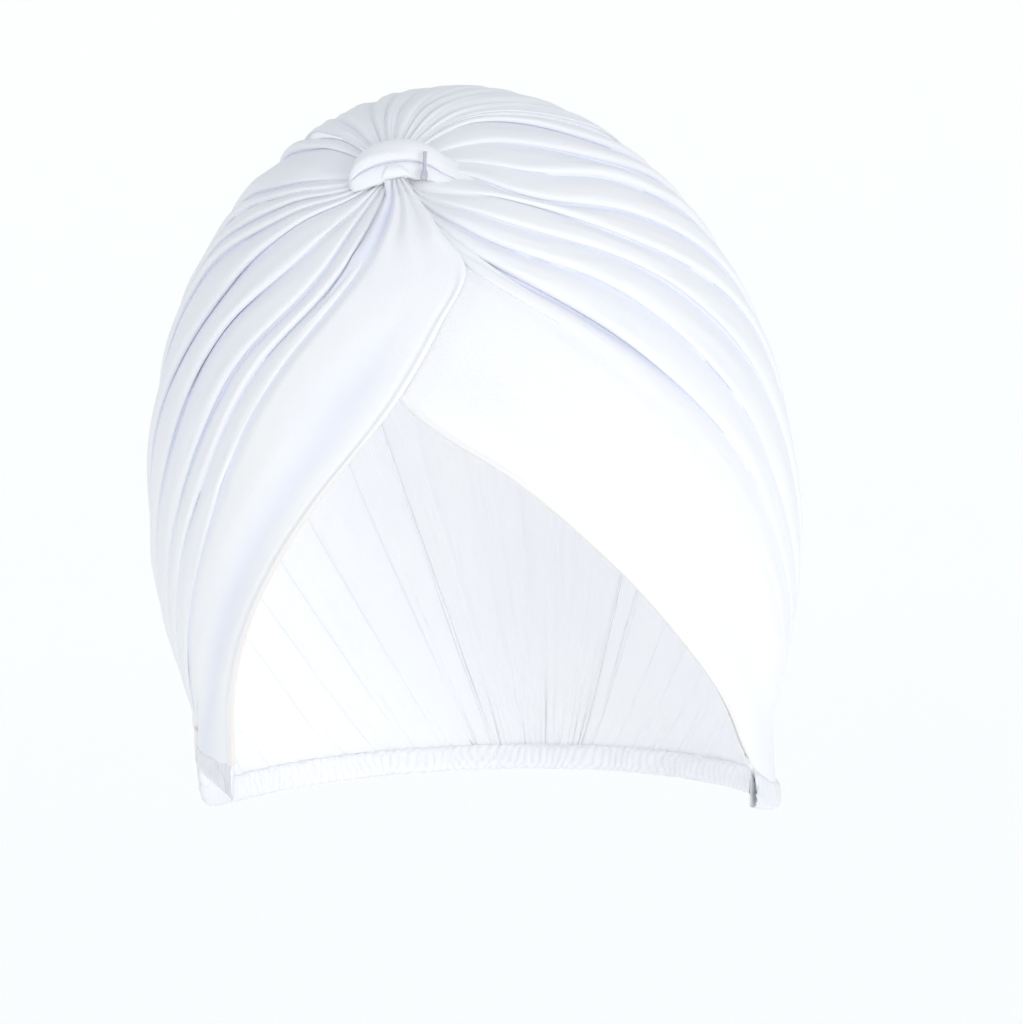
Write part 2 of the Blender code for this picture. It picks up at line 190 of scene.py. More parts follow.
@dataclass
class HeadForm:
    """The head form that the cloth lies on, with the chart that places are read in."""

    half_width: float = 0.0855
    half_depth: float = 0.101
    crown_height: float = 0.1125
    lower_reach: float = 0.117
    forward_lean: float = 0.095
    skirt_width: float = 0.86
    right_skirt_width: float = 0.92
    nape_depth: float = 0.66
    skirt_ease: float = 0.03
    knot: tuple[float, float, float] = (-0.0037, -0.064, 0.094)
    gather: tuple[float, float, float] = (0.0, 0.052, -0.102)
    hem_corner: float = -0.060
    hem_nape: float = -0.077
    corner_depth: float = -0.021
    hem_sweep: float = 0.014
    hem_tilt: float = 0.045
    dimple_depth: float = 0.0020
    dimple_turn: float = 15.0
    start_turn: float = 3.6

    def __post_init__(self) -> None:
        """Work out the chart's axes and the turn at which the cloth meets its hem."""
        knot, gather = np.array(self.knot), np.array(self.gather)
        self.middle = (knot + gather) / 2.0
        self.axis = (knot - gather) / np.linalg.norm(knot - gather)
        front = np.array((0.0, -1.0, 0.0)) + self.axis * self.axis[1]
        self.front = front / np.linalg.norm(front)
        self.left = np.cross(self.axis, self.front)
        self.hem_fans = np.arange(-180.0, 541.0, 0.5)
        self.hem_turns = self._find_hem(self.hem_fans)

    def level(self, points: Array) -> Array:
        """How far out points lie: below 1 inside the head form, 1 on it."""
        across, depth, up = points[..., 0], points[..., 1], points[..., 2]
        depth = depth + self.forward_lean * up
        wide = (across / self.half_width) ** 2
        deep = (depth / self.half_depth) ** 2
        taper = 1.0 - (np.minimum(up, 0.0) / self.lower_reach) ** 2

        def skirt(limit: Array) -> Array:
            """The larger of the taper and a limit, with a rounded change between them."""
            return 0.5 * (taper + limit + np.hypot(taper - limit, self.skirt_ease))

        side_width = np.where(across < 0.0, self.right_skirt_width, self.skirt_width)
        below = wide / skirt(side_width ** 2) + deep / skirt(np.array(self.nape_depth ** 2))
        above = wide + deep + (up / self.crown_height) ** 2
        return np.where(up > 0.0, above, below)

    def direction(self, turn: Array, fan: Array) -> Array:
        """Unit vectors from the middle of the cap at turns and fan angles in degrees."""
        turn, fan = np.radians(turn)[..., None], np.radians(fan)[..., None]
        across = self.front * np.cos(fan) + self.left * np.sin(fan)
        return self.axis * np.cos(turn) + across * np.sin(turn)

    def reach(self, turn: Array, fan: Array) -> Array:
        """Distance from the middle of the cap to the head form."""
        ray = self.direction(turn, fan)
        near = np.full(ray.shape[:-1], 0.03)
        far = np.full(ray.shape[:-1], 0.30)
        for _ in range(30):
            half = (near + far) / 2.0
            inside = self.level(self.middle + ray * half[..., None]) < 1.0
            near = np.where(inside, half, near)
            far = np.where(inside, far, half)
        return near

    def place(self, turn: Array, fan: Array, height: Array) -> Array:
        """Points at heights above the head form, measured away from the middle of the cap."""
        turn, fan, height = np.broadcast_arrays(turn, fan, height)
        ray = self.direction(turn, fan)
        return self.middle + ray * (self.reach(turn, fan) + height)[..., None]

    def girth(self, turn: Array, fan: Array) -> Array:
        """Distance of the cloth from the line through the knot and the gather point."""
        return self.reach(turn, fan) * np.sin(np.radians(turn))

    def hem_turn(self, fan: Array) -> Array:
        """Turn at which the cloth meets its lower edge."""
        return np.interp(fan, self.hem_fans, self.hem_turns)

    def dimple(self, turn: Array) -> Array:
        """How far the cloth sinks where the knot draws it in."""
        span = self.dimple_turn - self.start_turn - 2.0
        return self.dimple_depth * ease_in((self.dimple_turn - turn) / span)

    def knot_chart(self, across: Array, up: Array) -> tuple[Array, Array]:
        """Turn and fan of places near the knot, from lengths across the cap and up the crown."""
        middle = self.reach(np.array(0.0), np.array(0.0))
        turn = np.degrees(np.hypot(across, up) / middle)
        return turn, np.degrees(np.arctan2(across, -up))

    def _find_hem(self, fans: Array) -> Array:
        """Turns at which the cloth meets its lower edge, found by halving."""
        low, high = np.full(fans.shape, 90.0), np.full(fans.shape, 176.0)
        for _ in range(26):
            half = (low + high) / 2.0
            points = self.place(half, fans, np.zeros_like(half))
            behind = np.maximum(0.0, points[..., 1] - self.corner_depth)
            edge = mix(self.hem_nape, self.hem_corner, np.exp(-behind / self.hem_sweep))
            edge = edge - self.hem_tilt * points[..., 0]
            above = points[..., 2] > edge
            low = np.where(above, half, low)
            high = np.where(above, high, half)
        return low


FORM = HeadForm()
STATIONS = (5.0, 15.0, 32.0, 62.0, 100.0)
STRENGTH_STATIONS = (8.0, 30.0, 62.0, 110.0)
CLOTH_START = 2.0
ROW_CROWDING = 1.3
LEFT_CORNER_FAN = 59.0
RIGHT_CORNER_FAN = 41.0
CLOTH_RUN = 0.27
LEAST_GIRTH = 0.006
CROWDED_GIRTH = 0.030
CROWDED_THICKNESS = 0.35
BAND_RISE = 0.0012


@dataclass(frozen=True)
class FoldRow:
    """One fold edge: its fan angle at each station, and how strong the fold is along it."""

    name: str
    knot: float
    crown: float
    brow: float
    side: float
    ear: float
    hem: float
    near: float
    middle: float
    far: float
    low: float

    def fans(self) -> tuple[float, ...]:
        """Fan angles at the stations."""
        return self.knot, self.crown, self.brow, self.side, self.ear

    def strengths(self) -> tuple[float, ...]:
        """Strengths at the strength stations."""
        return self.near, self.middle, self.far, self.low

    def line(self, offset: float = 0.0) -> FoldLine:
        """The fold edge as a line on the cap, with an offset added to every fan angle."""
        return FoldLine(STATIONS, tuple(offset + fan for fan in self.fans()), offset + self.hem)


LEFT_FOLDS = (
    # name, fan at the knot, crown, brow, side, ear, hem; strength near, middle, far, low
    FoldRow("band_top", 20.0, 29.0, 48.0, 64.0, 73.0, 88.0, 0.32, 0.18, 0.22, 0.40),
    FoldRow("brow_fold", 26.0, 36.0, 56.0, 72.0, 80.0, 97.0, 1.10, 1.20, 0.80, 0.60),
    FoldRow("temple_fold", 32.0, 45.0, 69.0, 81.0, 87.0, 105.0, 1.00, 1.00, 0.80, 0.65),
    FoldRow("long_fold", 40.0, 58.0, 80.0, 93.0, 98.0, 113.0, 0.70, 0.75, 0.90, 0.75),
    FoldRow("forked_fold", 50.0, 73.0, 88.0, 106.0, 110.0, 122.0, 0.55, 0.85, 0.95, 0.75),
    FoldRow("knot_fold", 96.0, 80.0, 99.0, 115.0, 121.0, 131.0, 0.90, 1.00, 0.95, 0.75),
    FoldRow("upper_fold", 109.0, 95.0, 111.0, 126.0, 131.0, 140.0, 0.35, 0.95, 0.90, 0.75),
    FoldRow("crown_fold", 128.0, 117.0, 119.0, 135.0, 141.0, 149.0, 0.45, 0.85, 0.90, 0.75),
    FoldRow("top_fold", 150.0, 138.0, 129.0, 142.0, 150.0, 158.0, 0.55, 0.90, 0.85, 0.75),
    FoldRow("fan_side", 160.0, 147.0, 138.0, 150.0, 157.0, 165.0, 0.70, 0.90, 0.80, 0.75),
)
RIGHT_FOLDS = (
    # name, fan at the knot, crown, brow, side, ear, hem; strength near, middle, far, low
    FoldRow("band_top", 4.0, -9.0, -31.0, -44.0, -56.0, -70.0, 0.60, 0.85, 0.45, 0.35),
    FoldRow("brow_fold", -12.0, -19.0, -40.0, -50.0, -62.0, -78.0, 0.75, 0.90, 0.75, 0.55),
    FoldRow("temple_fold", -30.0, -29.0, -47.0, -56.0, -68.0, -86.0, 0.90, 0.85, 0.80, 0.60),
    FoldRow("open_fold", -38.0, -44.0, -61.0, -67.0, -76.0, -94.0, 0.80, 0.95, 0.90, 0.70),
    FoldRow("rolled_fold", -58.0, -69.0, -74.0, -82.0, -88.0, -102.0, 0.80, 1.00, 0.90, 0.70),
    FoldRow("upper_fold", -66.0, -79.0, -95.0, -98.0, -102.0, -112.0, 0.80, 0.90, 0.85, 0.70),
    FoldRow("thin_fold", -75.0, -89.0, -103.0, -108.0, -113.0, -122.0, 0.80, 0.90, 0.85, 0.70),
    FoldRow("small_fold", -84.0, -96.0, -112.0, -118.0, -123.0, -132.0, 0.50, 0.75, 0.80, 0.70),
    FoldRow("crown_fold", -94.0, -104.0, -121.0, -129.0, -134.0, -142.0, 0.85, 0.95, 0.85, 0.70),
    FoldRow("top_fold", -132.0, -131.0, -138.0, -144.0, -147.0, -152.0, 0.60, 0.90, 0.85, 0.70),
    FoldRow("fan_side", -146.0, -143.0, -147.0, -152.0, -156.0, -161.0, 1.10, 1.10, 0.85, 0.70),
)
BAND_EDGES = (
    # turn from the knot, fan of the right band's free edge, fan of the left band's free edge
    (5.0, 35.0, 8.0),
    (13.0, 31.0, 0.0),
    (20.0, 32.0, -7.0),
    (26.0, 17.5, -6.0),
    (36.0, 1.5, 5.0),
    (49.0, -15.5, 23.5),
    (66.0, -28.0, 36.0),
    (90.0, -38.0, 47.0),
)


@dataclass(frozen=True)
class ProfileStep:
    """One column of a knife fold, from under the fold above it round its own edge and back.

    A crisp fold puts the column at `share` of the width plus `slide` of the overlap, at `sink` of
    the depth. A soft fold puts it at `soft_share` and `soft_sink` instead.
    """

    share: float
    slide: float
    sink: float
    soft_share: float
    soft_sink: float


KNIFE_PROFILE = (
    # share, slide, sink, soft_share, soft_sink
    ProfileStep(0.000, -1.00, 1.00, 0.000, 1.00),
    ProfileStep(0.000, -0.30, 1.00, 0.030, 0.99),
    ProfileStep(0.035, 0.10, 0.95, 0.080, 0.95),
    ProfileStep(0.110, 0.10, 0.82, 0.160, 0.84),
    ProfileStep(0.220, 0.05, 0.62, 0.280, 0.62),
    ProfileStep(0.360, 0.00, 0.39, 0.430, 0.35),
    ProfileStep(0.530, 0.00, 0.18, 0.580, 0.14),
    ProfileStep(0.700, 0.00, 0.05, 0.700, 0.03),
    ProfileStep(0.840, 0.00, 0.00, 0.790, 0.00),
    ProfileStep(0.930, 0.00, 0.06, 0.860, 0.06),
    ProfileStep(0.975, 0.00, 0.20, 0.905, 0.20),
    ProfileStep(0.998, 0.00, 0.40, 0.940, 0.40),
    ProfileStep(1.004, -0.10, 0.60, 0.965, 0.62),
    ProfileStep(1.000, -0.45, 0.76, 0.980, 0.80),
    ProfileStep(1.000, -1.00, 0.88, 0.992, 0.94),
)


class FoldLine:
    """A line on the cap from the knot to the hem."""

    def __init__(self, turns: tuple[float, ...], fans: tuple[float, ...], hem_fan: float) -> None:
        """Fit the line through its stations.

        Args:
            turns: Turns of the stations.
            fans: Fan angles there.
            hem_fan: Fan angle at the hem.
        """
        self.hem_fan = hem_fan
        self.hem_turn = float(FORM.hem_turn(np.array(hem_fan)))
        self.places = np.sqrt(np.array([*turns, self.hem_turn]))
        self.fans = np.array([*fans, hem_fan])

    def fan_at(self, turn: Array) -> Array:
        """Fan angle of the line at turns."""
        return smooth_curve(self.places, self.fans, np.sqrt(turn))

    def at(self, along: Array) -> tuple[Array, Array]:
        """Turn and fan angle at shares of the way from the knot to the hem."""
        turn = mix(CLOTH_START, self.hem_turn, along ** ROW_CROWDING)
        return turn, self.fan_at(turn)


def band_edge(column: int, corner_fan: float) -> FoldLine:
    """Free edge of a band, from the table of band edges."""
    turns = tuple(row[0] for row in BAND_EDGES)
    return FoldLine(turns, tuple(row[column] for row in BAND_EDGES), corner_fan)


RIGHT_EDGE = band_edge(1, -RIGHT_CORNER_FAN)
LEFT_EDGE = band_edge(2, LEFT_CORNER_FAN)


def end_direction(line: FoldLine) -> Array:
    """Direction in which a line on the cap runs where it meets the hem."""
    turns = np.array((line.hem_turn - 3.0, line.hem_turn))
    points = FORM.place(turns, line.fan_at(turns), np.zeros(2))
    return (points[1] - points[0]) / np.linalg.norm(points[1] - points[0])


def between(first: FoldLine, second: FoldLine, share: Array, along: Array) -> tuple[Array, Array]:
    """Turn and fan angle between two lines, kept on the hem where they reach it.

    Args:
        first: Line at share 0.
        second: Line at share 1.
        share: Share of the way from the first line to the second.
        along: Share of the way from the knot to the hem.

    Returns:
        Turns and fan angles.
    """
    turn_a, fan_a = first.at(along)
    turn_b, fan_b = second.at(along)
    end = FORM.hem_turn(mix(first.hem_fan, second.hem_fan, share))
    slip = end - mix(first.hem_turn, second.hem_turn, share)
    return mix(turn_a, turn_b, share) + slip * along ** 4, mix(fan_a, fan_b, share)


def right_band_cover(turn: Array, fan: Array) -> Array:
    """How far cloth of the wearer's left side sinks where the right band lies over it."""
    edge = RIGHT_EDGE.fan_at(np.minimum(turn, 62.0))
    clear = np.radians(fan - edge) * FORM.girth(turn, fan)
    return 0.5 * MM * ease_in((7.5 * MM - clear) / (5.5 * MM)) * (turn < 60.0)


def crowded_thickness(full: float, turn: Array, fan: Array) -> Array:
    """Thickness of single jersey, less near the knot and the nape, where its folds crowd."""
    return full * np.clip(FORM.girth(turn, fan) / CROWDED_GIRTH, CROWDED_THICKNESS, 1.0)


def hem_gathers(noise: Ripple, fan: Array, along: Array, depth: float) -> Array:
    """Heights of the small gathers where the cloth is sewn into the nape casing.

    Args:
        noise: Noise of the piece.
        fan: Fan angles of the places.
        along: Share of the way from the knot to the hem.
        depth: Greatest height.

    Returns:
        Heights, which are 0 away from the hem.
    """
    gather = noise.at((fan + 400.0) * 1.15, along * 6.0 + 17.0)
    return depth * gather * ease_in((along - 0.90) / 0.09)


@dataclass
class ClothWall:
    """A cloth surface with a thickness, laid out in columns and rows."""

    outer: Array
    thickness: Array
    # fold: how deep in a fold each point lies, which sets its painted shade
    fold: Array
    rim: Array
    rim_points: int = 3
    evening: int = 5
    normal: Array = field(init=False)

    def __post_init__(self) -> None:
        """Work out the outward normals of the surface."""
        across = np.gradient(self.outer, axis=0)
        along = np.gradient(self.outer, axis=1)
        normal = unit(np.cross(across, along))
        for _ in range(self.evening):
            padded = np.concatenate([normal[:1], normal, normal[-1:]])
            normal = unit(padded[:-2] + 2.0 * padded[1:-1] + padded[2:])
        outward = np.sum(normal * (self.outer - FORM.middle), axis=-1)
        self.normal = normal * (1.0 if np.median(outward) > 0.0 else -1.0)
        self.thickness = np.broadcast_to(self.thickness, self.outer.shape[:2])

    def mesh(self, name: str) -> bpy.types.Mesh:
        """Build the closed wall with round long edges, its cloth map and its masks.

        Args:
            name: Name of the mesh.

        Returns:
            The mesh.
        """
        inner = self.outer - self.normal * self.thickness[..., None]
        last_rim = self._rim(-1, self.outer[-1] - self.outer[-2])
        first_rim = self._rim(0, self.outer[0] - self.outer[1])[::-1]
        loop = np.concatenate([self.outer, last_rim, inner[::-1], first_rim])
        count, rows = loop.shape[:2]
        fold = self._spread(self.fold)
        rim = self._spread(self.rim)
        across = running_length(self.outer, axis=0)
        across = across - across.mean(axis=0)
        across = np.broadcast_to(np.median(across, axis=1)[:, None], across.shape)
        along = running_length(self.outer, axis=1)
        cloth = np.stack([self._spread(across), self._spread(along)], axis=-1)
        index = np.arange(count * rows).reshape(count, rows)
        faces = ring_faces(index) + self._ends(index, self.outer.shape[0])
        data = bpy.data.meshes.new(name)
        data.from_pydata(loop.reshape(-1, 3).tolist(), [], faces)
        write_masks(data, fold.ravel(), rim.ravel(), cloth.reshape(-1, 2))
        return data

    def _rim(self, column: int, outward: Array) -> Array:
        """Points of the half-round edge at one end of the columns.

        Args:
            column: Number of the end column.
            outward: Vectors that point away from the sheet there.

        Returns:
            The edge's points, from the outer skin to the inner.
        """
        direction = unit(outward)
        half = self.thickness[column][:, None] / 2.0
        centre = self.outer[column] - self.normal[column] * half
        angles = [math.pi * (k + 1) / (self.rim_points + 1) for k in range(self.rim_points)]
        return np.stack([centre + (self.normal[column] * math.cos(a) + direction * math.sin(a)) * half
                         for a in angles])

    def _spread(self, values: Array) -> Array:
        """Values of the surface, repeated for the rims and the inner skin."""
        values = np.broadcast_to(values, self.outer.shape[:2])
        last = np.repeat(values[-1:], self.rim_points, axis=0)
        first = np.repeat(values[:1], self.rim_points, axis=0)
        return np.concatenate([values, last, values[::-1], first])

    def _ends(self, index: Array, columns: int) -> list[tuple[int, ...]]:
        """Faces that close the first and the last row.

        Args:
            index: Numbers of the vertices, by place round the loop and by row.
            columns: How many columns the outer skin has.

        Returns:
            The faces of both ends.
        """
        count = index.shape[0]
        faces = []
        for row, turned in ((0, False), (index.shape[1] - 1, True)):
            ring = index[:, row]
            last_inner = columns + self.rim_points
            strips = [(ring[i], ring[i + 1], ring[count - self.rim_points - 2 - i],
                       ring[count - self.rim_points - 1 - i]) for i in range(columns - 1)]
            strips.append(tuple(ring[columns - 1:last_inner + 1]))
            strips.append((*ring[count - self.rim_points - 1:], ring[0]))
            for strip in strips:
                strip = tuple(int(v) for v in strip)
                faces.append(strip[::-1] if turned else strip)
        return faces


def write_masks(data: bpy.types.Mesh, fold: Array, rim: Array, cloth: Array) -> None:
    """Store the cloth map and the fold and rim masks on a mesh, and smooth its shading.

    Args:
        data: Mesh to write to.
        fold: How deep in a fold each vertex lies, which sets its painted shade.
        rim: How near a free edge each vertex lies.
        cloth: Place of each vertex on the flat cloth, in metres.
    """
    data.validate()
    layer = data.uv_layers.new(name=CLOTH_MAP)
    corners = np.zeros(len(data.loops), np.int32)
    data.loops.foreach_get("vertex_index", corners)
    layer.data.foreach_set("uv", cloth[corners].astype(np.float32).ravel())
    for name, values in ((FOLD_SHADE_MASK, fold), (RIM_MASK, rim)):
        mask = data.attributes.new(name, "FLOAT", "POINT")
        mask.data.foreach_set("value", values.astype(np.float32))
    data.shade_smooth()
    data.set_sharp_from_angle(angle=math.radians(75.0))


def ring_faces(index: Array) -> list[tuple[int, ...]]:
    """Faces round closed rings of vertices, from each ring to the next."""
    following = np.roll(index, -1, axis=0)
    quads = np.stack([index[:, :-1], index[:, 1:], following[:, 1:], following[:, :-1]], axis=-1)
    return [tuple(quad) for quad in quads.reshape(-1, 4).tolist()]


def loft(name: str, ring: Array, fold: Array, cloth: Array, reverse: bool = False) -> bpy.types.Mesh:
    """Closed mesh through rings of points, with its cloth map and its masks.

    Args:
        name: Name of the mesh.
        ring: Points, by place round the ring and by station.
        fold: How deep in a fold each point lies, which sets its painted shade.
        cloth: Place of each point on the flat cloth, in metres.
        reverse: Whether the rings run the other way round.

    Returns:
        The mesh.
    """
    index = np.arange(fold.size).reshape(fold.shape)
    quads, first, last = ring_faces(index), index[:, 0], index[::-1, -1]
    if reverse:
        quads = [(a, d, c, b) for a, b, c, d in quads]
        first, last = first[::-1], last[::-1]
    faces = [*quads, tuple(first.tolist()), tuple(last.tolist())]
    data = bpy.data.meshes.new(name)
    data.from_pydata(ring.reshape(-1, 3).tolist(), [], faces)
    write_masks(data, fold.ravel(), np.zeros(fold.size), cloth.reshape(-1, 2))
    return data


@dataclass
class TurbanPiece:
    """One piece of the turban, which rides on the cap and replaces its solid."""

    name: str
    node: str

    SLOT = ""

    def mesh(self) -> bpy.types.Mesh:
        """Build the piece's mesh, which each kind of piece does in its own way."""
        raise NotImplementedError

    def build(self, material: bpy.types.Material) -> bpy.types.Object:
        """Build the piece, dress it and put it in the scene.

        Args:
            material: The piece's material.

        Returns:
            The piece's object, which replaces its solid.
        """
        data = self.mesh()
        data.materials.append(material)
        piece = bpy.data.objects.new(data.name, data)
        bpy.context.scene.collection.objects.link(piece)
        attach(piece, BODY)
        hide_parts(self.node)
        return piece


class NodeBuilder:
    """Small helper that adds and joins the nodes of one tree."""

    def __init__(self, tree: bpy.types.NodeTree) -> None:
        """Keep the tree to build in."""
        self.tree = tree

    def add(self, kind: str, values: dict | None = None, **options: object) -> bpy.types.Node:
        """Add a node, set its options and fill or join its inputs.

        Args:
            kind: The node's type name.
            values: Input values or output sockets by input name or number.
            options: Properties of the node.

        Returns:
            The new node.
        """
        node = self.tree.nodes.new(kind)
        for name, value in options.items():
            setattr(node, name, value)
        self.fill(node, values or {})
        return node

    def fill(self, node: bpy.types.Node, values: dict) -> None:
        """Fill or join a node's inputs.

        Args:
            node: The node.
            values: Input values or output sockets by input name or number.
        """
        for name, value in values.items():
            if isinstance(value, bpy.types.NodeSocket):
                self.tree.links.new(value, node.inputs[name])
            else:
                node.inputs[name].default_value = value

    def math(self, operation: str, *values: object) -> bpy.types.NodeSocket:
        """Add a maths node and give its result."""
        node = self.add("ShaderNodeMath", dict(enumerate(values)), operation=operation)
        return node.outputs[0]

    def colour(self, share: object, first: object, second: object,
               blend: str = "MIX") -> bpy.types.NodeSocket:
        """Add a colour mix and give its result."""
        values = {0: share, 6: first, 7: second}
        return self.add("ShaderNodeMix", values, data_type="RGBA", blend_type=blend).outputs[2]


def new_group(name: str, inputs: dict[str, tuple[str, object]],
              outputs: dict[str, str]) -> tuple[bpy.types.NodeTree, NodeBuilder, dict, bpy.types.Node]:
    """Start a shader node group with named sockets.

    Args:
        name: Name of the group.
        inputs: Socket type and default value by input name.
        outputs: Socket type by output name.

    Returns:
        The group, its builder, its input sockets by name and its output node.
    """
    group = bpy.data.node_groups.new(name, "ShaderNodeTree")
    for label, (kind, value) in inputs.items():
        socket = group.interface.new_socket(label, in_out="INPUT", socket_type=kind)
        if value is not None:
            socket.default_value = value
    for label, kind in outputs.items():
        group.interface.new_socket(label, in_out="OUTPUT", socket_type=kind)
    build = NodeBuilder(group)
    start = build.add("NodeGroupInput")
    end = build.add("NodeGroupOutput")
    return group, build, {socket.name: socket for socket in start.outputs}, end


def knit_group() -> bpy.types.NodeTree:
    """Fine jersey knit: rows of small slanted stitches in narrow ribs, from the cloth map, with a mask of
    painted shade for its hollows.
    """
    group, build, given, end = new_group(
        "jersey_knit",
        {"Map": ("NodeSocketVector", None), "Ribs per Metre": ("NodeSocketFloat", 1500.0),
         "Unevenness": ("NodeSocketFloat", 0.35)},
        {"Height": "NodeSocketFloat", "Mask": "NodeSocketFloat"})
    wobble = build.add("ShaderNodeTexNoise", {"Vector": given["Map"], "Scale": 160.0, "Detail": 0.0})
    split = build.add("ShaderNodeSeparateXYZ", {"Vector": given["Map"]})
    bent = build.math("MULTIPLY", build.math("SUBTRACT", wobble.outputs["Fac"], 0.5), 0.0008)
    across = build.math("MULTIPLY", build.math("ADD", split.outputs["X"], bent), given["Ribs per Metre"])
    rib = build.math("ABSOLUTE", build.math("SUBTRACT", build.math("FRACT", across), 0.5))
    along = build.math("MULTIPLY", build.math("ADD", split.outputs["Y"], bent),
                       build.math("MULTIPLY", given["Ribs per Metre"], 1.25))
    slant = build.math("ADD", along, build.math("MULTIPLY", rib, 1.1))
    stitch = build.math("ABSOLUTE", build.math("SUBTRACT", build.math("FRACT", slant), 0.5))
    ridge = build.math("SUBTRACT", 1.0, build.math("MULTIPLY", build.math("POWER", rib, 2.0), 3.2))
    loops = build.math("MULTIPLY", stitch, 0.7)
    fuzz = build.add("ShaderNodeTexNoise", {"Vector": given["Map"], "Scale": 2600.0, "Detail": 1.0})
    rough = build.math("MULTIPLY", build.math("SUBTRACT", fuzz.outputs["Fac"], 0.5), given["Unevenness"])
    total = build.math("ADD", build.math("ADD", ridge, loops), rough)
    # painted shade in the knit: the lower the knit, the darker, with faint random fuzz
    build.fill(end, {"Height": total, "Mask": build.math("MULTIPLY", total, 0.7)})
    return group


def cloth_shade_group() -> bpy.types.NodeTree:
    """Colour of white cloth: painted shade, cooler and darker, deep in folds and in the knit's hollows;
    warmer at cut edges; faintly uneven all over.
    """
    group, build, given, end = new_group(
        "cloth_shade",
        {"Place": ("NodeSocketVector", None), "Fold": ("NodeSocketFloat", 0.0),
         "Rim": ("NodeSocketFloat", 0.0), "Knit": ("NodeSocketFloat", 0.5),
         "Cloth": ("NodeSocketColor", (0.9, 0.9, 0.9, 1.0)),
         "Deep": ("NodeSocketColor", (0.8, 0.8, 0.85, 1.0)),
         "Edge": ("NodeSocketColor", (0.8, 0.75, 0.7, 1.0)),
         "Tint": ("NodeSocketColor", (0.85, 0.85, 0.92, 1.0))},
        {"Color": "NodeSocketColor", "Roughness": "NodeSocketFloat"})
    patch = build.add("ShaderNodeTexNoise", {"Vector": given["Place"], "Scale": 22.0, "Detail": 3.0})
    drift = build.add("ShaderNodeMapRange", {"Value": patch.outputs["Fac"], "From Min": 0.38,
                                             "From Max": 0.66, "To Min": 0.0, "To Max": 0.55})
    tinted = build.colour(drift.outputs["Result"], given["Cloth"], given["Tint"])
    # painted shade: the fold mask lays a cooler, darker colour into the folds
    deep = build.math("POWER", build.math("MAXIMUM", given["Fold"], 0.0), 1.6)
    shaded = build.colour(deep, tinted, given["Deep"])
    edged = build.colour(build.math("MULTIPLY", given["Rim"], 0.8), shaded, given["Edge"])
    # painted shade in the knit's hollows: the cloth colour darkens slightly where the knit lies low
    knit_shade = build.add("ShaderNodeMapRange", {"Value": given["Knit"], "From Min": 0.0, "From Max": 1.1,
                                             "To Min": 0.955, "To Max": 1.0})
    flat = build.add("ShaderNodeCombineXYZ", {"X": knit_shade.outputs["Result"], "Y": knit_shade.outputs["Result"],
                                              "Z": knit_shade.outputs["Result"]})
    result = build.colour(1.0, edged, flat.outputs["Vector"], "MULTIPLY")
    rough = build.add("ShaderNodeMapRange", {"Value": patch.outputs["Fac"], "To Min": 0.80, "To Max": 0.95})
    build.fill(end, {"Color": result, "Roughness": rough.outputs["Result"]})
    return group


def new_material(name: str) -> tuple[bpy.types.Material, NodeBuilder, bpy.types.Node]:
    """Start a material: the material, a builder of its nodes and its main shader."""
    material = bpy.data.materials.new(name)
    material.use_nodes = True
    return material, NodeBuilder(material.node_tree), material.node_tree.nodes["Principled BSDF"]


@dataclass(frozen=True)
class JerseyFinish:
    """Fine white stretch jersey."""

    name: str
    cloth: tuple[float, float, float] = (0.885, 0.89, 0.90)
    # painted shade: the cooler, darker colour laid deep in folds
    deep: tuple[float, float, float] = (0.82, 0.84, 0.935)
    edge: tuple[float, float, float] = (0.80, 0.76, 0.73)
    tint: tuple[float, float, float] = (0.85, 0.86, 0.915)
    ribs_per_metre: float = 1450.0
    knit_strength: float = 0.22
    knit_depth: float = 0.00010
    crinkle_strength: float = 0.10
    crinkle_depth: float = 0.0006
    crinkle_scale: float = 260.0
    sheen: float = 0.12
    sheen_roughness: float = 0.55
    specular: float = 0.25

    def material(self, groups: dict[str, bpy.types.NodeTree]) -> bpy.types.Material:
        """Build the cloth's material.

        Args:
            groups: The shared node groups by name.

        Returns:
            The material.
        """
        material, build, shader = new_material(self.name)
        cloth_map = build.add("ShaderNodeUVMap", uv_map=CLOTH_MAP)
        place = build.add("ShaderNodeTexCoord")
        # the fold mask, which places the painted shade
        fold = build.add("ShaderNodeAttribute", attribute_name=FOLD_SHADE_MASK)
        rim = build.add("ShaderNodeAttribute", attribute_name=RIM_MASK)
        knit = build.add("ShaderNodeGroup", {"Map": cloth_map.outputs["UV"],
                                             "Ribs per Metre": self.ribs_per_metre},
                         node_tree=groups["knit"])
        shade = build.add("ShaderNodeGroup", {
            "Place": place.outputs["Object"], "Fold": fold.outputs["Fac"], "Rim": rim.outputs["Fac"],
            "Knit": knit.outputs["Mask"], "Cloth": (*self.cloth, 1.0), "Deep": (*self.deep, 1.0),
            "Edge": (*self.edge, 1.0), "Tint": (*self.tint, 1.0)}, node_tree=groups["shade"])
        crinkle = build.add("ShaderNodeTexNoise", {"Vector": place.outputs["Object"],
                                                   "Scale": self.crinkle_scale, "Detail": 2.0,
                                                   "Roughness": 0.6})
        soft = build.add("ShaderNodeBump", {"Strength": self.crinkle_strength,
                                            "Distance": self.crinkle_depth,
                                            "Height": crinkle.outputs["Fac"]})
        fine = build.add("ShaderNodeBump", {"Strength": self.knit_strength, "Distance": self.knit_depth,
                                            "Height": knit.outputs["Height"],
                                            "Normal": soft.outputs["Normal"]})
        build.fill(shader, {"Base Color": shade.outputs["Color"], "Roughness": shade.outputs["Roughness"],
                            "Normal": fine.outputs["Normal"], "Sheen Weight": self.sheen,
                            "Sheen Roughness": self.sheen_roughness, "Specular IOR Level": self.specular})
        return material


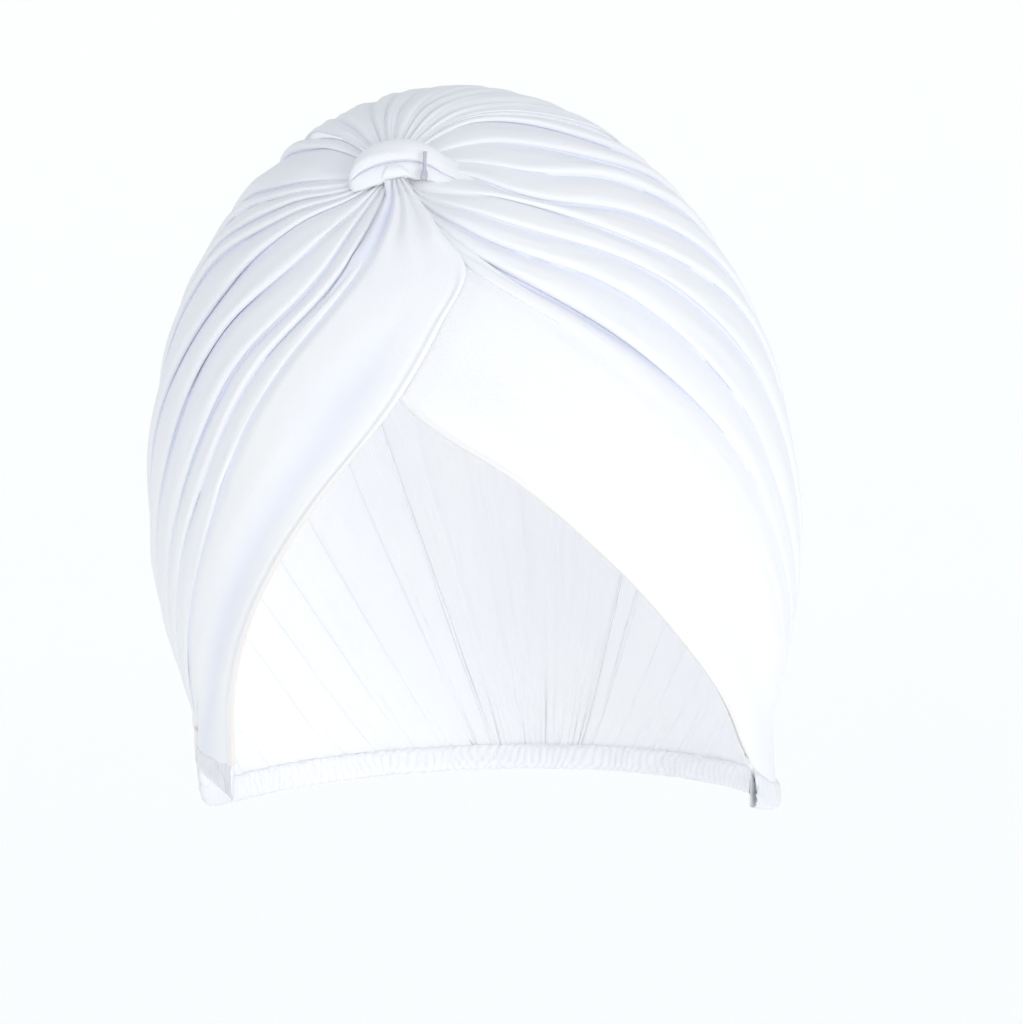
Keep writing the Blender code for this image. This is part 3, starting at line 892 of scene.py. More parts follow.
@dataclass(frozen=True)
class ClearBarFinish:
    """Clear plastic with a faint violet cast."""

    name: str = "clear_bar"
    colour: tuple[float, float, float] = (0.60, 0.58, 0.66)
    paler: float = 1.25
    cloud_scale: float = 420.0
    roughness: float = 0.18
    refraction: float = 1.49
    transmission: float = 0.45

    def material(self, groups: dict[str, bpy.types.NodeTree]) -> bpy.types.Material:
        """Build the plastic's material.

        Args:
            groups: The shared node groups by name, which this finish doesn't use.

        Returns:
            The material.
        """
        material, build, shader = new_material(self.name)
        place = build.add("ShaderNodeTexCoord")
        cloud = build.add("ShaderNodeTexNoise", {"Vector": place.outputs["Object"],
                                                 "Scale": self.cloud_scale})
        pale = tuple(min(1.0, part * self.paler) for part in self.colour)
        colour = build.colour(cloud.outputs["Fac"], (*self.colour, 1.0), (*pale, 1.0))
        build.fill(shader, {"Base Color": colour, "Roughness": self.roughness, "IOR": self.refraction,
                            "Transmission Weight": self.transmission})
        return material


@dataclass(frozen=True)
class Pocket:
    """Stretch round one turn where a fold's edge stands off and lies further over the next."""

    fold: str
    turn: float
    spread: float
    overlap: float
    deeper: float


OPEN_POCKET = Pocket("open_fold", turn=33.0, spread=8.0, overlap=0.0020, deeper=0.45)
BROW_POCKET = Pocket("brow_fold", turn=37.0, spread=11.0, overlap=0.0013, deeper=0.20)


@dataclass
class PleatedDrape(TurbanPiece):
    """Side panel of one continuous cloth in overlapping knife folds that face down the forehead."""

    side: Side
    folds: tuple[FoldRow, ...]
    pocket: Pocket
    seed: int
    rows: int = 130
    finer: int = 2
    depth: float = 0.0022
    lead: float = 0.0011
    least_overlap: float = 0.0003
    thickness: float = 0.0007
    steepest: float = 0.42
    edge_wander: float = 0.0009
    ripple: float = 0.00028
    hem_gather: float = 0.00045
    under_fan: float = 0.0023
    swell: float = 0.16
    swell_length: float = 0.055
    wander_length: float = 0.032
    loose_length: float = 0.024
    loose_width: float = 0.0042
    fine_length: float = 0.011
    fine_width: float = 0.0021

    SLOT = "drape_jersey"

    def mesh(self) -> bpy.types.Mesh:
        """Build the panel, from the crown down to the band.

        Returns:
            The panel's closed mesh.
        """
        lines = [fold.line() for fold in self.folds]
        along = np.linspace(0.0, 1.0, self.rows)
        noise = Ripple(self.seed)
        turns, fans, heights, masks = [], [], [], []
        for index in range(len(lines) - 1, 0, -1):
            columns = self._pleat(lines, index, along, noise)
            for store, value in zip((turns, fans, heights, masks), columns):
                store.extend(value)
        control = np.stack([np.array(turns), np.array(fans), np.array(heights), np.array(masks)], axis=-1)
        surface = through_points(control, self.finer)
        turn, fan, height, mask = np.moveaxis(surface, -1, 0)
        thickness = crowded_thickness(self.thickness, turn, fan)
        wall = ClothWall(FORM.place(turn, fan, height), thickness, np.clip(mask, 0.0, 1.0),
                         np.zeros_like(mask))
        return wall.mesh(self.name)

    def _pleat(self, lines: list[FoldLine], index: int, along: Array,
               noise: Ripple) -> tuple[list[Array], list[Array], list[Array], list[Array]]:
        """Columns of one pleat, from under the fold above to its own returning edge.

        Args:
            lines: The fold edges, from the band up to the crown.
            index: Number of the fold edge above the pleat.
            along: Share of the way from the knot to the hem, by row.
            noise: Noise of the panel.

        Returns:
            Turns, fan angles, heights and fold masks, each by column.
        """
        upper, lower = lines[index], lines[index - 1]
        own, above = self.folds[index - 1], self.folds[index]
        turn_mid, fan_mid = between(upper, lower, 0.5, along)
        spread = np.radians(np.abs(upper.at(along)[1] - lower.at(along)[1]))
        width = FORM.girth(turn_mid, fan_mid) * spread
        near_knot = mix(0.50, 1.0, ease_in((turn_mid - FORM.start_turn) / 20.0))
        near_hem = mix(1.0, 0.30, ease_in((along - 0.86) / 0.14))
        near_hem = near_hem * mix(1.0, 0.50, ease_in((along - 0.36) / 0.34))
        soften = mix(1.0, 0.25, ease_in((along - 0.40) / 0.30))
        length = along * CLOTH_RUN
        swell = 1.0 + self.swell * noise.at(length / self.swell_length, index * 7.3)
        limit = self.steepest * width

        def strength(fold: FoldRow) -> Array:
            """Strength of a fold along the rows."""
            return smooth_curve(np.array(STRENGTH_STATIONS), np.array(fold.strengths()), turn_mid)

        own_strength, above_strength = strength(own), strength(above)
        scale = near_knot * near_hem * swell
        own_depth = np.minimum(self.depth * own_strength * scale, limit)
        above_depth = np.minimum(self.depth * above_strength * scale, limit)
        starts = ease_in((along - 0.02) / 0.12) * soften
        own_crisp = ease_in((own_strength - 0.25) / 0.5) * starts
        above_crisp = ease_in((above_strength - 0.25) / 0.5) * starts
        overlap = np.minimum(self.least_overlap, 0.12 * width) * ease_in((0.75 - along) / 0.25)
        if own.name == self.pocket.fold:
            stands_off = np.exp(-((turn_mid - self.pocket.turn) / self.pocket.spread) ** 2)
            overlap = overlap + self.pocket.overlap * stands_off
            own_depth = own_depth * (1.0 + self.pocket.deeper * stands_off)
        first = index == len(lines) - 1
        turns, fans, heights, masks = [], [], [], []
        steps = KNIFE_PROFILE if index > 1 else KNIFE_PROFILE[:-3]
        lead = self.side.value * np.degrees(self.lead * np.clip(width / 0.010, 0.2, 1.0)
                                            / np.maximum(FORM.girth(turn_mid, fan_mid), LEAST_GIRTH))
        for number, step in enumerate(steps):
            hands_over = ease_in(np.array((number - 3.0) / 5.0))
            crisp = mix(above_crisp, own_crisp, hands_over)
            depth = mix(above_depth, own_depth, hands_over)
            share = mix(step.soft_share, step.share + step.slide * overlap / width, crisp)
            sink = mix(step.soft_sink, step.sink, crisp)
            turn, fan = between(upper, lower, np.clip(share, -0.5, 1.1), along)
            line = index if number < 7 else index - 1
            wander = self.edge_wander * noise.at(length / self.wander_length, 3.1 + line * 5.7)
            wander = wander * ease_in((along - 0.05) / 0.2) * ease_in((1.0 - along) / 0.1)
            fan = fan + np.degrees(wander / np.maximum(FORM.girth(turn, fan), LEAST_GIRTH))
            if line < len(lines) - 1:
                fan = fan + lead
            across = share * width
            loose = noise.at(length / self.loose_length, index * 11.0 + across / self.loose_width)
            fine = noise.at(length / self.fine_length, index * 5.0 + across / self.fine_width + 31.0)
            loose = loose + 0.5 * fine
            height = -sink * depth + self.ripple * loose * near_knot * (1.0 - 0.6 * sink)
            height = height + hem_gathers(noise, fan, along, self.hem_gather) * (1.0 - sink)
            height = height - FORM.dimple(turn)
            if first and number < 3:
                behind = mix(1.0, 0.50, ease_in((along - 0.22) / 0.25))
                tucked = -self.under_fan * mix(0.75, behind, near_knot) - FORM.dimple(turn)
                height = np.minimum(height, tucked + 0.0006 * number)
            if self.side is Side.LEFT:
                height = height - right_band_cover(turn, fan)
            turns.append(turn)
            fans.append(fan)
            heights.append(height)
            # painted shade: the deeper the cloth sinks into its fold, the darker its colour
            masks.append(np.clip(sink * depth / self.depth, 0.0, 1.0))
        return turns, fans, heights, masks


@dataclass
class CrownFan(TurbanPiece):
    """Round gathers behind the knot that run back over the crown to the nape."""

    name: str = "crown_fan_cloth"
    node: str = "crown_fan"
    gathers: int = 8
    steps: int = 16
    rows: int = 130
    depth: float = 0.0022
    steepest: float = 0.50
    thickness: float = 0.0007
    edge_sink: float = 0.30
    ripple: float = 0.00020
    hem_gather: float = 0.00045
    shade: float = 0.8
    seed: int = 41

    SLOT = "drape_jersey"

    def mesh(self) -> bpy.types.Mesh:
        """Build the gathers, from the left panel over the back to the right one.

        Returns:
            The fan's closed mesh.
        """
        first, last = LEFT_FOLDS[-1].line(), RIGHT_FOLDS[-1].line(FULL_TURN)
        along = np.linspace(0.0, 1.0, self.rows)[None, :]
        noise = Ripple(self.seed)
        place = np.linspace(0.0, 1.0, self.gathers * self.steps + 1)[:, None]
        uneven = place + 0.030 * np.sin(place * 6.0 * math.pi + 0.6) * np.sin(place * math.pi)
        turn, fan = between(first, last, place, along)
        spread = np.radians(last.at(along)[1] - first.at(along)[1])
        width = FORM.girth(turn, fan) * spread / self.gathers
        length = along * CLOTH_RUN
        wander = 0.10 * noise.at(length / 0.05, place * 9.0)
        wave = np.abs(np.sin(math.pi * (uneven * self.gathers + wander * np.sin(place * math.pi))))
        size = 1.0 + 0.35 * noise.at(place * self.gathers * 0.8 + 3.0, length / 0.09)
        near_knot = mix(0.55, 1.0, ease_in((turn - FORM.start_turn) / 16.0))
        near_hem = mix(1.0, 0.35, ease_in((along - 0.86) / 0.14))
        far_back = mix(1.0, 0.32, ease_in((turn - 12.0) / 14.0))
        depth = np.minimum(self.depth * near_knot * near_hem * far_back * size, self.steepest * width)
        crest = wave ** 0.75
        fine = np.abs(np.sin(math.pi * (uneven * self.gathers * 2.0 + 0.3))) ** 0.8
        close = ease_in((26.0 - turn) / 18.0)
        sink = 1.0 - mix(crest, crest * 0.7 + fine * 0.3, close)
        edge = np.minimum(place, 1.0 - place) * self.gathers
        sink = mix(self.edge_sink, sink, ease_in(edge / 0.5))
        loose = noise.at(length / 0.022, place * 40.0) + 0.5 * noise.at(length / 0.010, place * 90.0)
        height = -sink * depth - FORM.dimple(turn) + self.ripple * loose * near_knot
        height = height + hem_gathers(noise, fan, along, self.hem_gather) * (1.0 - sink)
        thickness = crowded_thickness(self.thickness, turn, fan)
        mask = np.clip(sink * depth / self.depth, 0.0, 1.0) * self.shade
        wall = ClothWall(FORM.place(turn, fan, height), thickness, mask, np.zeros_like(mask))
        return wall.mesh(self.name)


@dataclass
class FaceBand(TurbanPiece):
    """Plain strip, folded double, between a free edge at the face and the first pleat."""

    side: Side
    seed: int
    columns: int = 54
    rows: int = 150
    run: float = 0.26
    thickness: float = 0.0014
    rise: float = BAND_RISE
    tuck_under: float = 0.0042
    under_height: float = 0.0016
    bead: float = 0.00030
    hollow: float = 0.0007
    shade: float = 0.30
    tuck_shade: float = 0.80
    pinch: float = 0.00060
    waviness: float = 0.00035
    fine_waviness: float = 0.00012
    rim_width: float = 0.00045

    SLOT = "band_jersey"

    def mesh(self) -> bpy.types.Mesh:
        """Build the band, from its free edge to under the first pleat.

        Returns:
            The band's closed mesh.
        """
        edge = LEFT_EDGE if self.side is Side.LEFT else RIGHT_EDGE
        top = (LEFT_FOLDS if self.side is Side.LEFT else RIGHT_FOLDS)[0].line()
        noise = Ripple(self.seed)
        along = np.linspace(0.0, 1.0, self.rows)[None, :]
        spread = np.radians(np.abs(top.at(along)[1] - edge.at(along)[1]))
        turn_mid, fan_mid = between(edge, top, np.array([[0.5]]), along)
        width = FORM.girth(turn_mid, fan_mid) * spread
        place = np.linspace(0.0, 1.0, self.columns)[:, None]
        place = mix(place, place ** 1.35, 0.6)
        extra = np.minimum(self.tuck_under, 0.25 * width)
        share = place * (1.0 + extra / width)
        turn, fan = between(edge, top, share, along)
        distance = share * width
        length = along * self.run
        height = -FORM.dimple(turn)
        if self.side is Side.RIGHT:
            height = height + self.rise * ease_in((52.0 - turn) / 16.0)
        else:
            height = height - right_band_cover(turn, fan)
        inside = ease_in((distance - width + 0.0035) / 0.0045) * ease_in((along - 0.01) / 0.05)
        low_down = mix(1.0, 0.30, ease_in((along - 0.30) / 0.25))
        height = height - self.under_height * inside * low_down * np.clip(width / 0.02, 0.3, 1.0)
        across = distance / width
        dip = np.exp(-((across - 0.42) / 0.22) ** 2) * ease_in((turn - 20.0) / 14.0)
        height = height - self.hollow * dip * ease_in((1.0 - along) / 0.15)
        bead = self.bead * (np.exp(-((distance - 0.0009) / 0.0009) ** 2)
                            - 0.9 * np.exp(-((distance - 0.0030) / 0.0011) ** 2))
        wavy = noise.at(length / 0.045, distance / 0.013) * self.waviness
        wavy = wavy + noise.at(length / 0.020, distance / 0.006 + 9.0) * self.fine_waviness
        quiet = ease_in(distance / 0.008)
        close = ease_in((20.0 - turn) / 12.0)
        ridges = np.sin(2.0 * math.pi * (place * 3.4 + 0.25 * noise.at(length / 0.02, place * 2.0)))
        height = height + bead * ease_in((width - 0.008) / 0.01) + wavy * quiet
        height = height + self.pinch * ridges * close * ease_in(along / 0.02)
        rim = np.exp(-distance / self.rim_width) * ease_in((turn - 30.0) / 12.0)
        # painted shade: under the first pleat, in the pinch valleys near the knot and in the band's hollow
        mask = inside * self.tuck_shade + close * 0.25 * (0.5 - 0.5 * ridges) + self.shade * dip
        mask = np.clip(mask, 0.0, 1.0)
        wall = ClothWall(FORM.place(turn, fan, height), np.array(self.thickness), mask, rim, rim_points=5)
        return wall.mesh(self.name)


@dataclass
class KnotWrap(TurbanPiece):
    """Short loop of cloth round the gathered ends, with a full upper lobe and a thin lower lip."""

    name: str = "knot_wrap_cloth"
    node: str = "knot_wrap"
    stations: int = 90
    seat: float = 0.0004
    edge: float = 0.0003
    melt: float = 0.0021
    ridge: float = 0.00030
    full_thickness: float = 0.004
    seed: int = 57

    SLOT = "band_jersey"
    SECTIONS = (
        # across, up, half_width, thickness, share of the band's rise below it
        (-0.0112, -0.0026, 0.0012, 0.0006, 1.0),
        (-0.0102, -0.0018, 0.0036, 0.0020, 1.0),
        (-0.0082, -0.0002, 0.0054, 0.0032, 1.0),
        (-0.0044, 0.0011, 0.0061, 0.0041, 1.0),
        (0.0005, 0.0016, 0.0062, 0.0044, 1.0),
        (0.0050, 0.0015, 0.0058, 0.0040, 1.0),
        (0.0092, 0.0012, 0.0053, 0.0030, 0.8),
        (0.0130, 0.0006, 0.0050, 0.0017, 0.4),
        (0.0170, -0.0002, 0.0046, 0.0008, 0.1),
        (0.0210, -0.0010, 0.0040, 0.0002, 0.0),
    )
    PROFILE = (
        # place across the loop from its lower edge, height: the lip, the crease, then the lobe
        (-1.00, 0.00),
        (-1.03, 0.16),
        (-0.98, 0.36),
        (-0.84, 0.50),
        (-0.66, 0.52),
        (-0.52, 0.44),
        (-0.44, 0.36),
        (-0.47, 0.50),
        (-0.50, 0.66),
        (-0.42, 0.82),
        (-0.22, 0.95),
        (0.04, 1.00),
        (0.32, 0.96),
        (0.56, 0.86),
        (0.76, 0.68),
        (0.92, 0.42),
        (1.00, 0.18),
        (0.99, 0.00),
    )

    def mesh(self) -> bpy.types.Mesh:
        """Build the loop, from end to end.

        Returns:
            The loop's closed mesh.
        """
        table = np.array(self.SECTIONS)
        at = np.linspace(table[0, 0], table[-1, 0], self.stations)
        up, half, thick, over = (smooth_curve(table[:, 0], table[:, k], at) for k in (1, 2, 3, 4))
        profile = through_points(np.array(self.PROFILE), 3)
        noise = Ripple(self.seed)
        side = profile[:, 0][:, None]
        level = profile[:, 1][:, None]
        drift = 0.10 * np.sin((at[None, :] - table[0, 0]) / 0.0075)
        side = side + drift * (1.0 - side ** 2).clip(0.0)
        ridges = noise.at(at[None, :] / 0.010, side * 3.4 + 0.6 * at[None, :] / 0.008)
        height = self.edge + thick * level + self.ridge * ridges * level * (thick / self.full_thickness)
        turn, fan = FORM.knot_chart(at[None, :], up + side * half)
        melted = self.melt * (1.0 - over)
        lifted = over * ease_in((side + 1.0) / 0.55)
        outer = FORM.place(turn, fan, self._seat_height(turn, fan, lifted) - melted + height)
        low = self._seat_height(turn, fan, np.zeros_like(at)) - melted - 0.00005
        under = FORM.place(turn, fan, low)
        floor = under[[0, len(under) // 4, len(under) // 2, 3 * len(under) // 4, -1]]
        ring = np.concatenate([outer, floor[::-1][1:-1]])
        # painted shade: darker where the loop lies low and along its crease
        fold = np.zeros(ring.shape[:2])
        crease = np.exp(-((side + 0.45) / 0.07) ** 2)
        fold[:len(outer)] = np.clip(1.0 - level, 0.0, 1.0) * 0.5 + crease * 0.5
        cloth = np.stack([running_length(ring, axis=0), running_length(ring, axis=1)], axis=-1)
        return loft(self.name, ring, fold, cloth, reverse=True)

    def _seat_height(self, turn: Array, fan: Array, over: Array) -> Array:
        """Height of the loop's underside, just clear of the cloth below it."""
        from_band = np.abs((fan + 180.0) % FULL_TURN - 180.0 - 12.5)
        on_band = np.maximum(ease_in((44.0 - from_band) / 18.0), over)
        return self.seat - FORM.dimple(turn) + BAND_RISE * on_band


@dataclass
class NapeCasing(TurbanPiece):
    """Ruched casing over elastic, along the lower edge from one corner round the nape."""

    name: str = "nape_hem_cloth"
    node: str = "nape_hem"
    stations: int = 620
    sides: int = 22
    height: float = 0.0070
    thickness: float = 0.0030
    gap: float = -0.0005
    pucker: float = 0.00055
    pucker_length: float = 0.0024
    taper_length: float = 0.015
    tail_length: float = 0.0090
    left_tail: float = 1.45
    right_tail: float = 1.50
    lean_length: float = 0.013
    shade_length: float = 0.024
    tail_shade: float = 0.34
    wall: float = 0.0016
    roundness: float = 0.6
    seed: int = 73

    SLOT = "ruched_casing"

    def mesh(self) -> bpy.types.Mesh:
        """Build the casing, from the left corner round the nape to the right one.

        Returns:
            The casing's closed mesh.
        """
        fan = np.linspace(LEFT_CORNER_FAN, FULL_TURN - RIGHT_CORNER_FAN, self.stations)
        place, outward, down = self._track(fan)
        length = running_length(place, axis=0)
        noise = Ripple(self.seed)
        beat = length / self.pucker_length
        from_end = np.minimum(length, length[-1] - length)
        ends = ease_in(from_end / self.taper_length)
        on_left = length < length[-1] / 2.0
        tail = np.where(on_left, self.left_tail, self.right_tail)
        tail = tail * np.exp(-(from_end / self.tail_length) ** 1.3)
        half = self.height / 2.0 * (mix(0.55, 1.0, ends) + tail)
        down = self._leaned(down, from_end, on_left)
        shaded = self.tail_shade * (1.0 - ease_in(from_end / self.shade_length))
        rings, masks = [], []
        for side in range(self.sides):
            angle = 2.0 * math.pi * (side + 0.5) / self.sides
            out = math.copysign(abs(math.cos(angle)) ** self.roundness, math.cos(angle))
            low = math.copysign(abs(math.sin(angle)) ** self.roundness, math.sin(angle))
            lean = beat + 0.9 * noise.at(beat * 0.23, side * 0.35) + 0.12 * side
            wave = np.abs(np.sin(math.pi * lean)) ** 0.8 - 0.6
            swell = self.pucker * (wave + 0.5 * noise.at(beat * 1.7, side * 0.8 + 40.0))
            reach_out = out * self.thickness / 2.0 * mix(0.30, 1.0, ends) + math.cos(angle) * swell
            reach_low = low * half + math.sin(angle) * swell * 0.6
            middle = place + down * (half + self.gap)[:, None]
            rings.append(middle + outward * reach_out[:, None] + down * reach_low[:, None])
            # painted shade: darker in the troughs of the ruching and towards the tails
            masks.append(np.clip((0.45 - wave) * 0.5 + shaded, 0.0, 1.0))
        around = np.linspace(0.0, 2.0 * (self.height + self.thickness), self.sides)[:, None]
        cloth = np.stack(np.broadcast_arrays(length[None, :], around), axis=-1)
        return loft(self.name, np.stack(rings), np.stack(masks), cloth)

    def _leaned(self, down: Array, from_end: Array, on_left: Array) -> Array:
        """Down directions that turn into the line of the nearer face edge at each end."""
        lean = 1.0 - ease_in(from_end / self.lean_length)
        carry_on = np.where(on_left[:, None], end_direction(LEFT_EDGE), end_direction(RIGHT_EDGE))
        return unit(mix(down, carry_on, lean[:, None]))

    def _track(self, fan: Array) -> tuple[Array, Array, Array]:
        """Follow the cloth's lower edge.

        Args:
            fan: Fan angles of the stations.

        Returns:
            Places in the middle of the cloth, with the directions outward and down there.
        """
        def edge(angle: Array) -> Array:
            """Points in the middle of the cloth at its lower edge."""
            return FORM.place(FORM.hem_turn(angle), angle, np.full(angle.shape, -self.wall / 2.0))

        step = 0.6
        place = edge(fan)
        run = unit(edge(fan + step) - edge(fan - step))
        turn = FORM.hem_turn(fan)
        zero = np.zeros_like(fan)
        meridian = FORM.place(turn + step, fan, zero) - FORM.place(turn - step, fan, zero)
        outward = unit(np.cross(run, meridian))
        sign = np.sign(np.sum(outward * (place - FORM.middle), axis=-1, keepdims=True))
        outward = outward * sign
        down = unit(np.cross(outward, run))
        return place, outward, down * -np.sign(down[:, 2:3])


@dataclass
class TackBar(TurbanPiece):
    """Slender clear bar on the knot, with a rounded head and a small foot."""

    name: str = "tack_bar_clear"
    node: str = "tack_bar"
    radius: float = 0.00055
    sides: int = 20

    SLOT = "clear_bar"
    PROFILE = (
        # share of the length, share of the radius
        (0.00, 0.70),
        (0.03, 1.45),
        (0.14, 1.75),
        (0.28, 1.60),
        (0.38, 1.05),
        (0.60, 0.82),
        (0.90, 0.88),
        (0.95, 1.05),
        (0.985, 0.95),
        (1.00, 0.60),
    )

    def mesh(self) -> bpy.types.Mesh:
        """Build the bar on its solid's line.

        Returns:
            The bar's closed mesh.
        """
        solid = bpy.data.objects[self.node]
        points = np.array([v.co for v in solid.data.vertices])
        centre = points.mean(axis=0)
        axis = np.linalg.svd(points - centre)[2][0]
        axis = axis * (1.0 if axis[2] > 0.0 else -1.0)
        reach = (points - centre) @ axis
        length = float(reach.max() - reach.min())
        side = np.cross(axis, (0.0, 1.0, 0.0))
        side /= np.linalg.norm(side)
        other = np.cross(axis, side)
        start = centre - axis * length / 2.0
        profile = through_points(np.array(self.PROFILE), 3)
        points = []
        for share, wide in profile:
            for k in range(self.sides):
                angle = 2.0 * math.pi * k / self.sides
                points.append(start + axis * share * length
                              + (side * math.cos(angle) + other * math.sin(angle)) * wide * self.radius)
        count = len(profile)
        faces = []
        for ring in range(count - 1):
            for k in range(self.sides):
                following = (k + 1) % self.sides
                faces.append((ring * self.sides + k, ring * self.sides + following,
                              (ring + 1) * self.sides + following, (ring + 1) * self.sides + k))
        faces.append(tuple(range(self.sides))[::-1])
        faces.append(tuple(range((count - 1) * self.sides, count * self.sides)))
        data = bpy.data.meshes.new(self.name)
        data.from_pydata([tuple(p) for p in points], [], faces)
        data.shade_smooth()
        return data


@dataclass
class Studio:
    """Camera at the photo's angle, a plain pale floor and soft studio light."""

    yaw: float = 9.82
    pitch: float = 5.81
    roll: float = -3.89
    distance: float = 1.30
    aside: float = 0.0092
    raised: float = -0.00041
    focal_pixels: float = 4913.0
    frame_height: float = 1024.0
    sensor: float = 36.0
    floor_level: float = -0.42
    floor_radius: float = 6.0
    floor_rings: int = 40
    floor_sides: int = 96
    floor_sweep: float = 2.6
    floor_glow: float = 0.27
    world_strength: float = 0.775
    inside_power: float = 0.068
    inside_size: float = 0.030

    def build(self) -> None:
        """Add the camera, the floor, the world and the lights."""
        self._camera()
        self._floor()
        self._world()
        self._light("key", azimuth=36.0, elevation=2.0, distance=1.7, size=0.8, power=6.9,
                    colour=(1.0, 0.995, 0.98))
        self._light("fill", azimuth=-42.0, elevation=-4.0, distance=1.9, size=1.2, power=1.3,
                    colour=(0.84, 0.89, 1.0))
        self._inside_light()
        view = bpy.context.scene.view_settings
        view.view_transform = "Standard"
        view.look = "None"
        view.exposure = 0.0

    def _camera(self) -> None:
        """Camera on the fitted line of sight."""
        yaw, pitch, roll = (math.radians(a) for a in (self.yaw, self.pitch, self.roll))
        back = Vector((math.sin(yaw) * math.cos(pitch), -math.cos(yaw) * math.cos(pitch), math.sin(pitch)))
        right = Vector((math.cos(yaw), math.sin(yaw), 0.0))
        up = back.cross(right)
        turned_right = right * math.cos(roll) + up * math.sin(roll)
        turned_up = up * math.cos(roll) - right * math.sin(roll)
        data = bpy.data.cameras.new("camera")
        data.sensor_fit = "VERTICAL"
        data.sensor_height = self.sensor
        data.lens = self.focal_pixels * self.sensor / self.frame_height
        data.clip_end = 50.0
        camera = bpy.data.objects.new("camera", data)
        place = back * self.distance + turned_right * self.aside + turned_up * self.raised
        turn = Matrix((turned_right, turned_up, back)).transposed().to_4x4()
        camera.matrix_world = Matrix.Translation(place) @ turn
        bpy.context.scene.collection.objects.link(camera)
        bpy.context.scene.camera = camera

    def _floor(self) -> None:
        """Wide pale floor whose rim sweeps up, so that no horizon shows."""
        rings, sides = self.floor_rings, self.floor_sides
        points, faces = [(0.0, 0.0, self.floor_level)], []
        for ring in range(1, rings + 1):
            share = ring / rings
            radius = self.floor_radius * share
            rise = max(0.0, share - 0.55) / 0.45
            level = self.floor_level + self.floor_sweep * rise ** 2.2
            for k in range(sides):
                angle = 2.0 * math.pi * k / sides
                points.append((radius * math.cos(angle), radius * math.sin(angle), level))
        for k in range(sides):
            faces.append((0, 1 + k, 1 + (k + 1) % sides))
        for ring in range(rings - 1):
            for k in range(sides):
                a, b = 1 + ring * sides + k, 1 + ring * sides + (k + 1) % sides
                faces.append((a, a + sides, b + sides, b))
        data = bpy.data.meshes.new("floor")
        data.from_pydata(points, [], faces)
        data.shade_smooth()
        material, build, shader = new_material("floor")
        build.fill(shader, {"Base Color": (0.90, 0.90, 0.88, 1.0), "Roughness": 0.9,
                            "Emission Color": (1.0, 0.99, 0.97, 1.0), "Emission Strength": self.floor_glow})
        data.materials.append(material)
        floor = bpy.data.objects.new("floor", data)
        bpy.context.scene.collection.objects.link(floor)

    def _world(self) -> None:
        """Even white surroundings."""
        world = bpy.data.worlds.new("studio")
        world.use_nodes = True
        back = world.node_tree.nodes["Background"]
        back.inputs["Color"].default_value = (0.90, 0.94, 1.0, 1.0)
        back.inputs["Strength"].default_value = self.world_strength
        bpy.context.scene.world = world

    def _inside_light(self) -> None:
        """Weak round light in the hollow, for the daylight that comes through the thin cloth."""
        data = bpy.data.lights.new("inside", "POINT")
        data.shadow_soft_size = self.inside_size
        data.energy = self.inside_power
        data.color = (1.0, 0.99, 0.97)
        light = bpy.data.objects.new("inside", data)
        light.location = (0.0, -0.005, 0.010)
        light.visible_camera = False
        bpy.context.scene.collection.objects.link(light)

    def _light(self, name: str, azimuth: float, elevation: float, distance: float, size: float,
               power: float, colour: tuple[float, float, float]) -> None:
        """Square area light that faces the cap from an azimuth and elevation in degrees."""
        data = bpy.data.lights.new(name, "AREA")
        data.size = size
        data.energy = power
        data.color = colour
        light = bpy.data.objects.new(name, data)
        azimuth, elevation = math.radians(azimuth), math.radians(elevation)
        away = Vector((math.sin(azimuth) * math.cos(elevation), -math.cos(azimuth) * math.cos(elevation),
                       math.sin(elevation)))
        light.location = away * distance
        light.rotation_mode = "QUATERNION"
        light.rotation_quaternion = away.to_track_quat("Z", "Y")
        bpy.context.scene.collection.objects.link(light)


@dataclass(frozen=True)
class Cut:
    """Flat cloth that one piece was cut from, and how the turban holds it."""

    width: float
    length: float
    area: float
    hold: Hold
    rests_on: tuple[str, ...]

    def declare(self, piece: bpy.types.Object) -> None:
        """State the piece's flat size, and log how much of it the built surface uses.

        Args:
            piece: The piece made from this cloth.
        """
        LOG.info("%s: %.4f of %.4f square metres", piece.name, surface_area(piece), self.area)


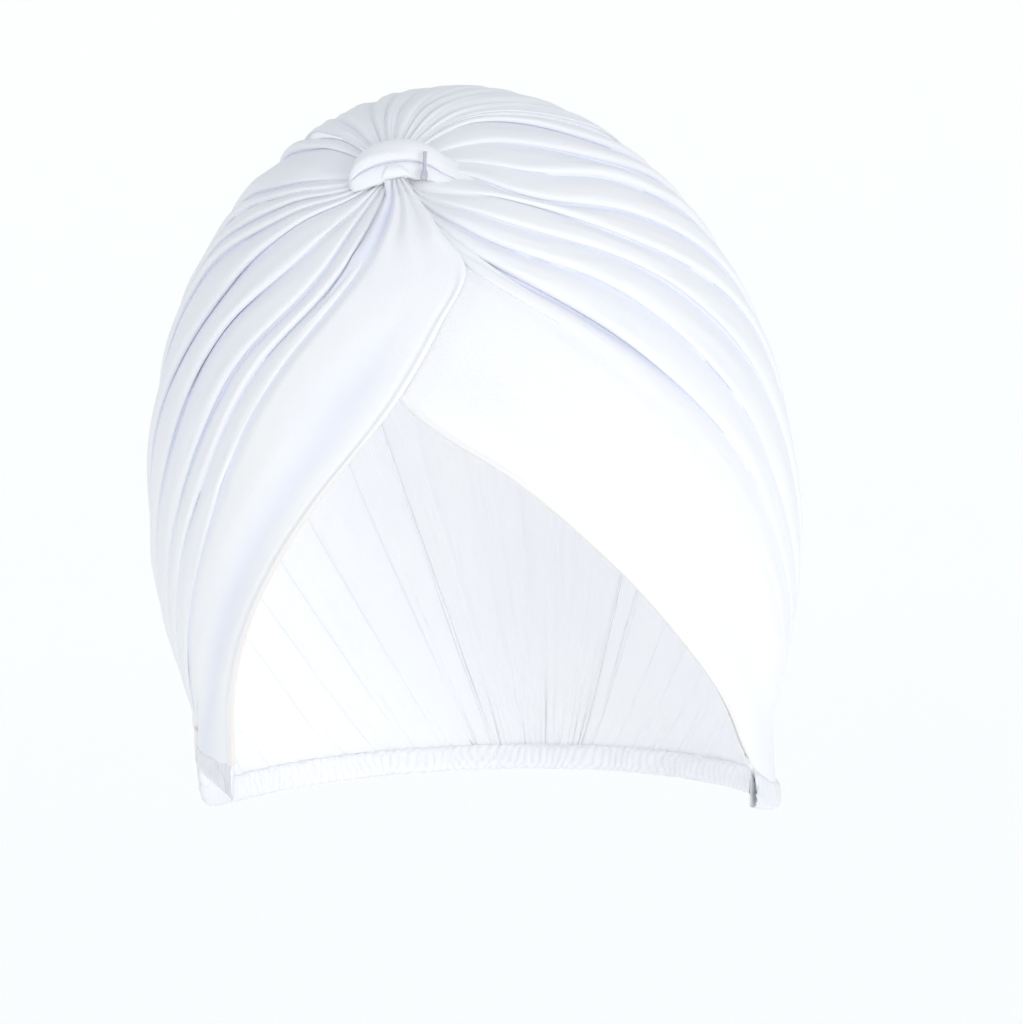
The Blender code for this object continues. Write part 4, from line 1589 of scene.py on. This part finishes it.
CUTS = {
    # width, length and area of the flat cloth; what it is held by
    "left_drape_cloth": Cut(0.175, 0.300, 0.0320, Hold.FOLDED, ("left_band", "nape_hem")),
    "right_drape_cloth": Cut(0.190, 0.300, 0.0345, Hold.FOLDED, ("right_band", "nape_hem")),
    "crown_fan_cloth": Cut(0.120, 0.300, 0.0220, Hold.GATHERED, ("nape_hem",)),
    "left_band_cloth": Cut(0.062, 0.245, 0.0090, Hold.STRETCHED, ("nape_hem",)),
    "right_band_cloth": Cut(0.045, 0.225, 0.0057, Hold.STRETCHED, ("left_band", "nape_hem")),
    "knot_wrap_cloth": Cut(0.016, 0.034, 0.0005, Hold.FOLDED, ("crown_fan",)),
    "nape_hem_cloth": Cut(0.010, 0.345, 0.0034, Hold.GATHERED, ("crown_fan",)),
}


def surface_area(piece: bpy.types.Object) -> float:
    """Half of a closed piece's surface, which is the area of its cloth."""
    return sum(face.area for face in piece.data.polygons) / 2.0


def corners(box: tuple[Vector, Vector]) -> list[list[float]]:
    """A box's two corners as plain lists."""
    return [[float(value) for value in corner] for corner in box]


def main() -> None:
    """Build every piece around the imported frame, in order, and report each one."""
    logging.basicConfig(level=logging.INFO, format="%(message)s")
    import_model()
    Studio().build()
    groups = {"knit": knit_group(), "shade": cloth_shade_group()}
    # each finish's deep colour is painted shade, laid into folds, gathers and tails by the pieces' fold
    # masks
    drape = JerseyFinish("drape_jersey").material(groups)
    band = JerseyFinish("band_jersey", cloth=(0.90, 0.90, 0.905), deep=(0.79, 0.81, 0.92),
                        tint=(0.865, 0.865, 0.905)).material(groups)
    casing = JerseyFinish("ruched_casing", deep=(0.66, 0.68, 0.74), knit_strength=0.3,
                          crinkle_strength=0.25).material(groups)
    clear = ClearBarFinish().material(groups)
    pieces = (
        (PleatedDrape("left_drape_cloth", "left_drape", Side.LEFT, LEFT_FOLDS, BROW_POCKET, seed=11),
         drape),
        (PleatedDrape("right_drape_cloth", "right_drape", Side.RIGHT, RIGHT_FOLDS, OPEN_POCKET, seed=23),
         drape),
        (CrownFan(), drape),
        (FaceBand("left_band_cloth", "left_band", Side.LEFT, seed=31, under_height=0.0006,
                  tuck_shade=0.22), band),
        (FaceBand("right_band_cloth", "right_band", Side.RIGHT, seed=37, hollow=0.0012, shade=0.75),
         band),
        (KnotWrap(), band),
        (NapeCasing(), casing),
        (TackBar(), clear),
    )
    for builder, material in pieces:
        piece = builder.build(material)
        LOG.info("%s: %d faces", piece.name, len(piece.data.polygons))
        if piece.name in CUTS:
            CUTS[piece.name].declare(piece)


if __name__ == "__main__":
    main()
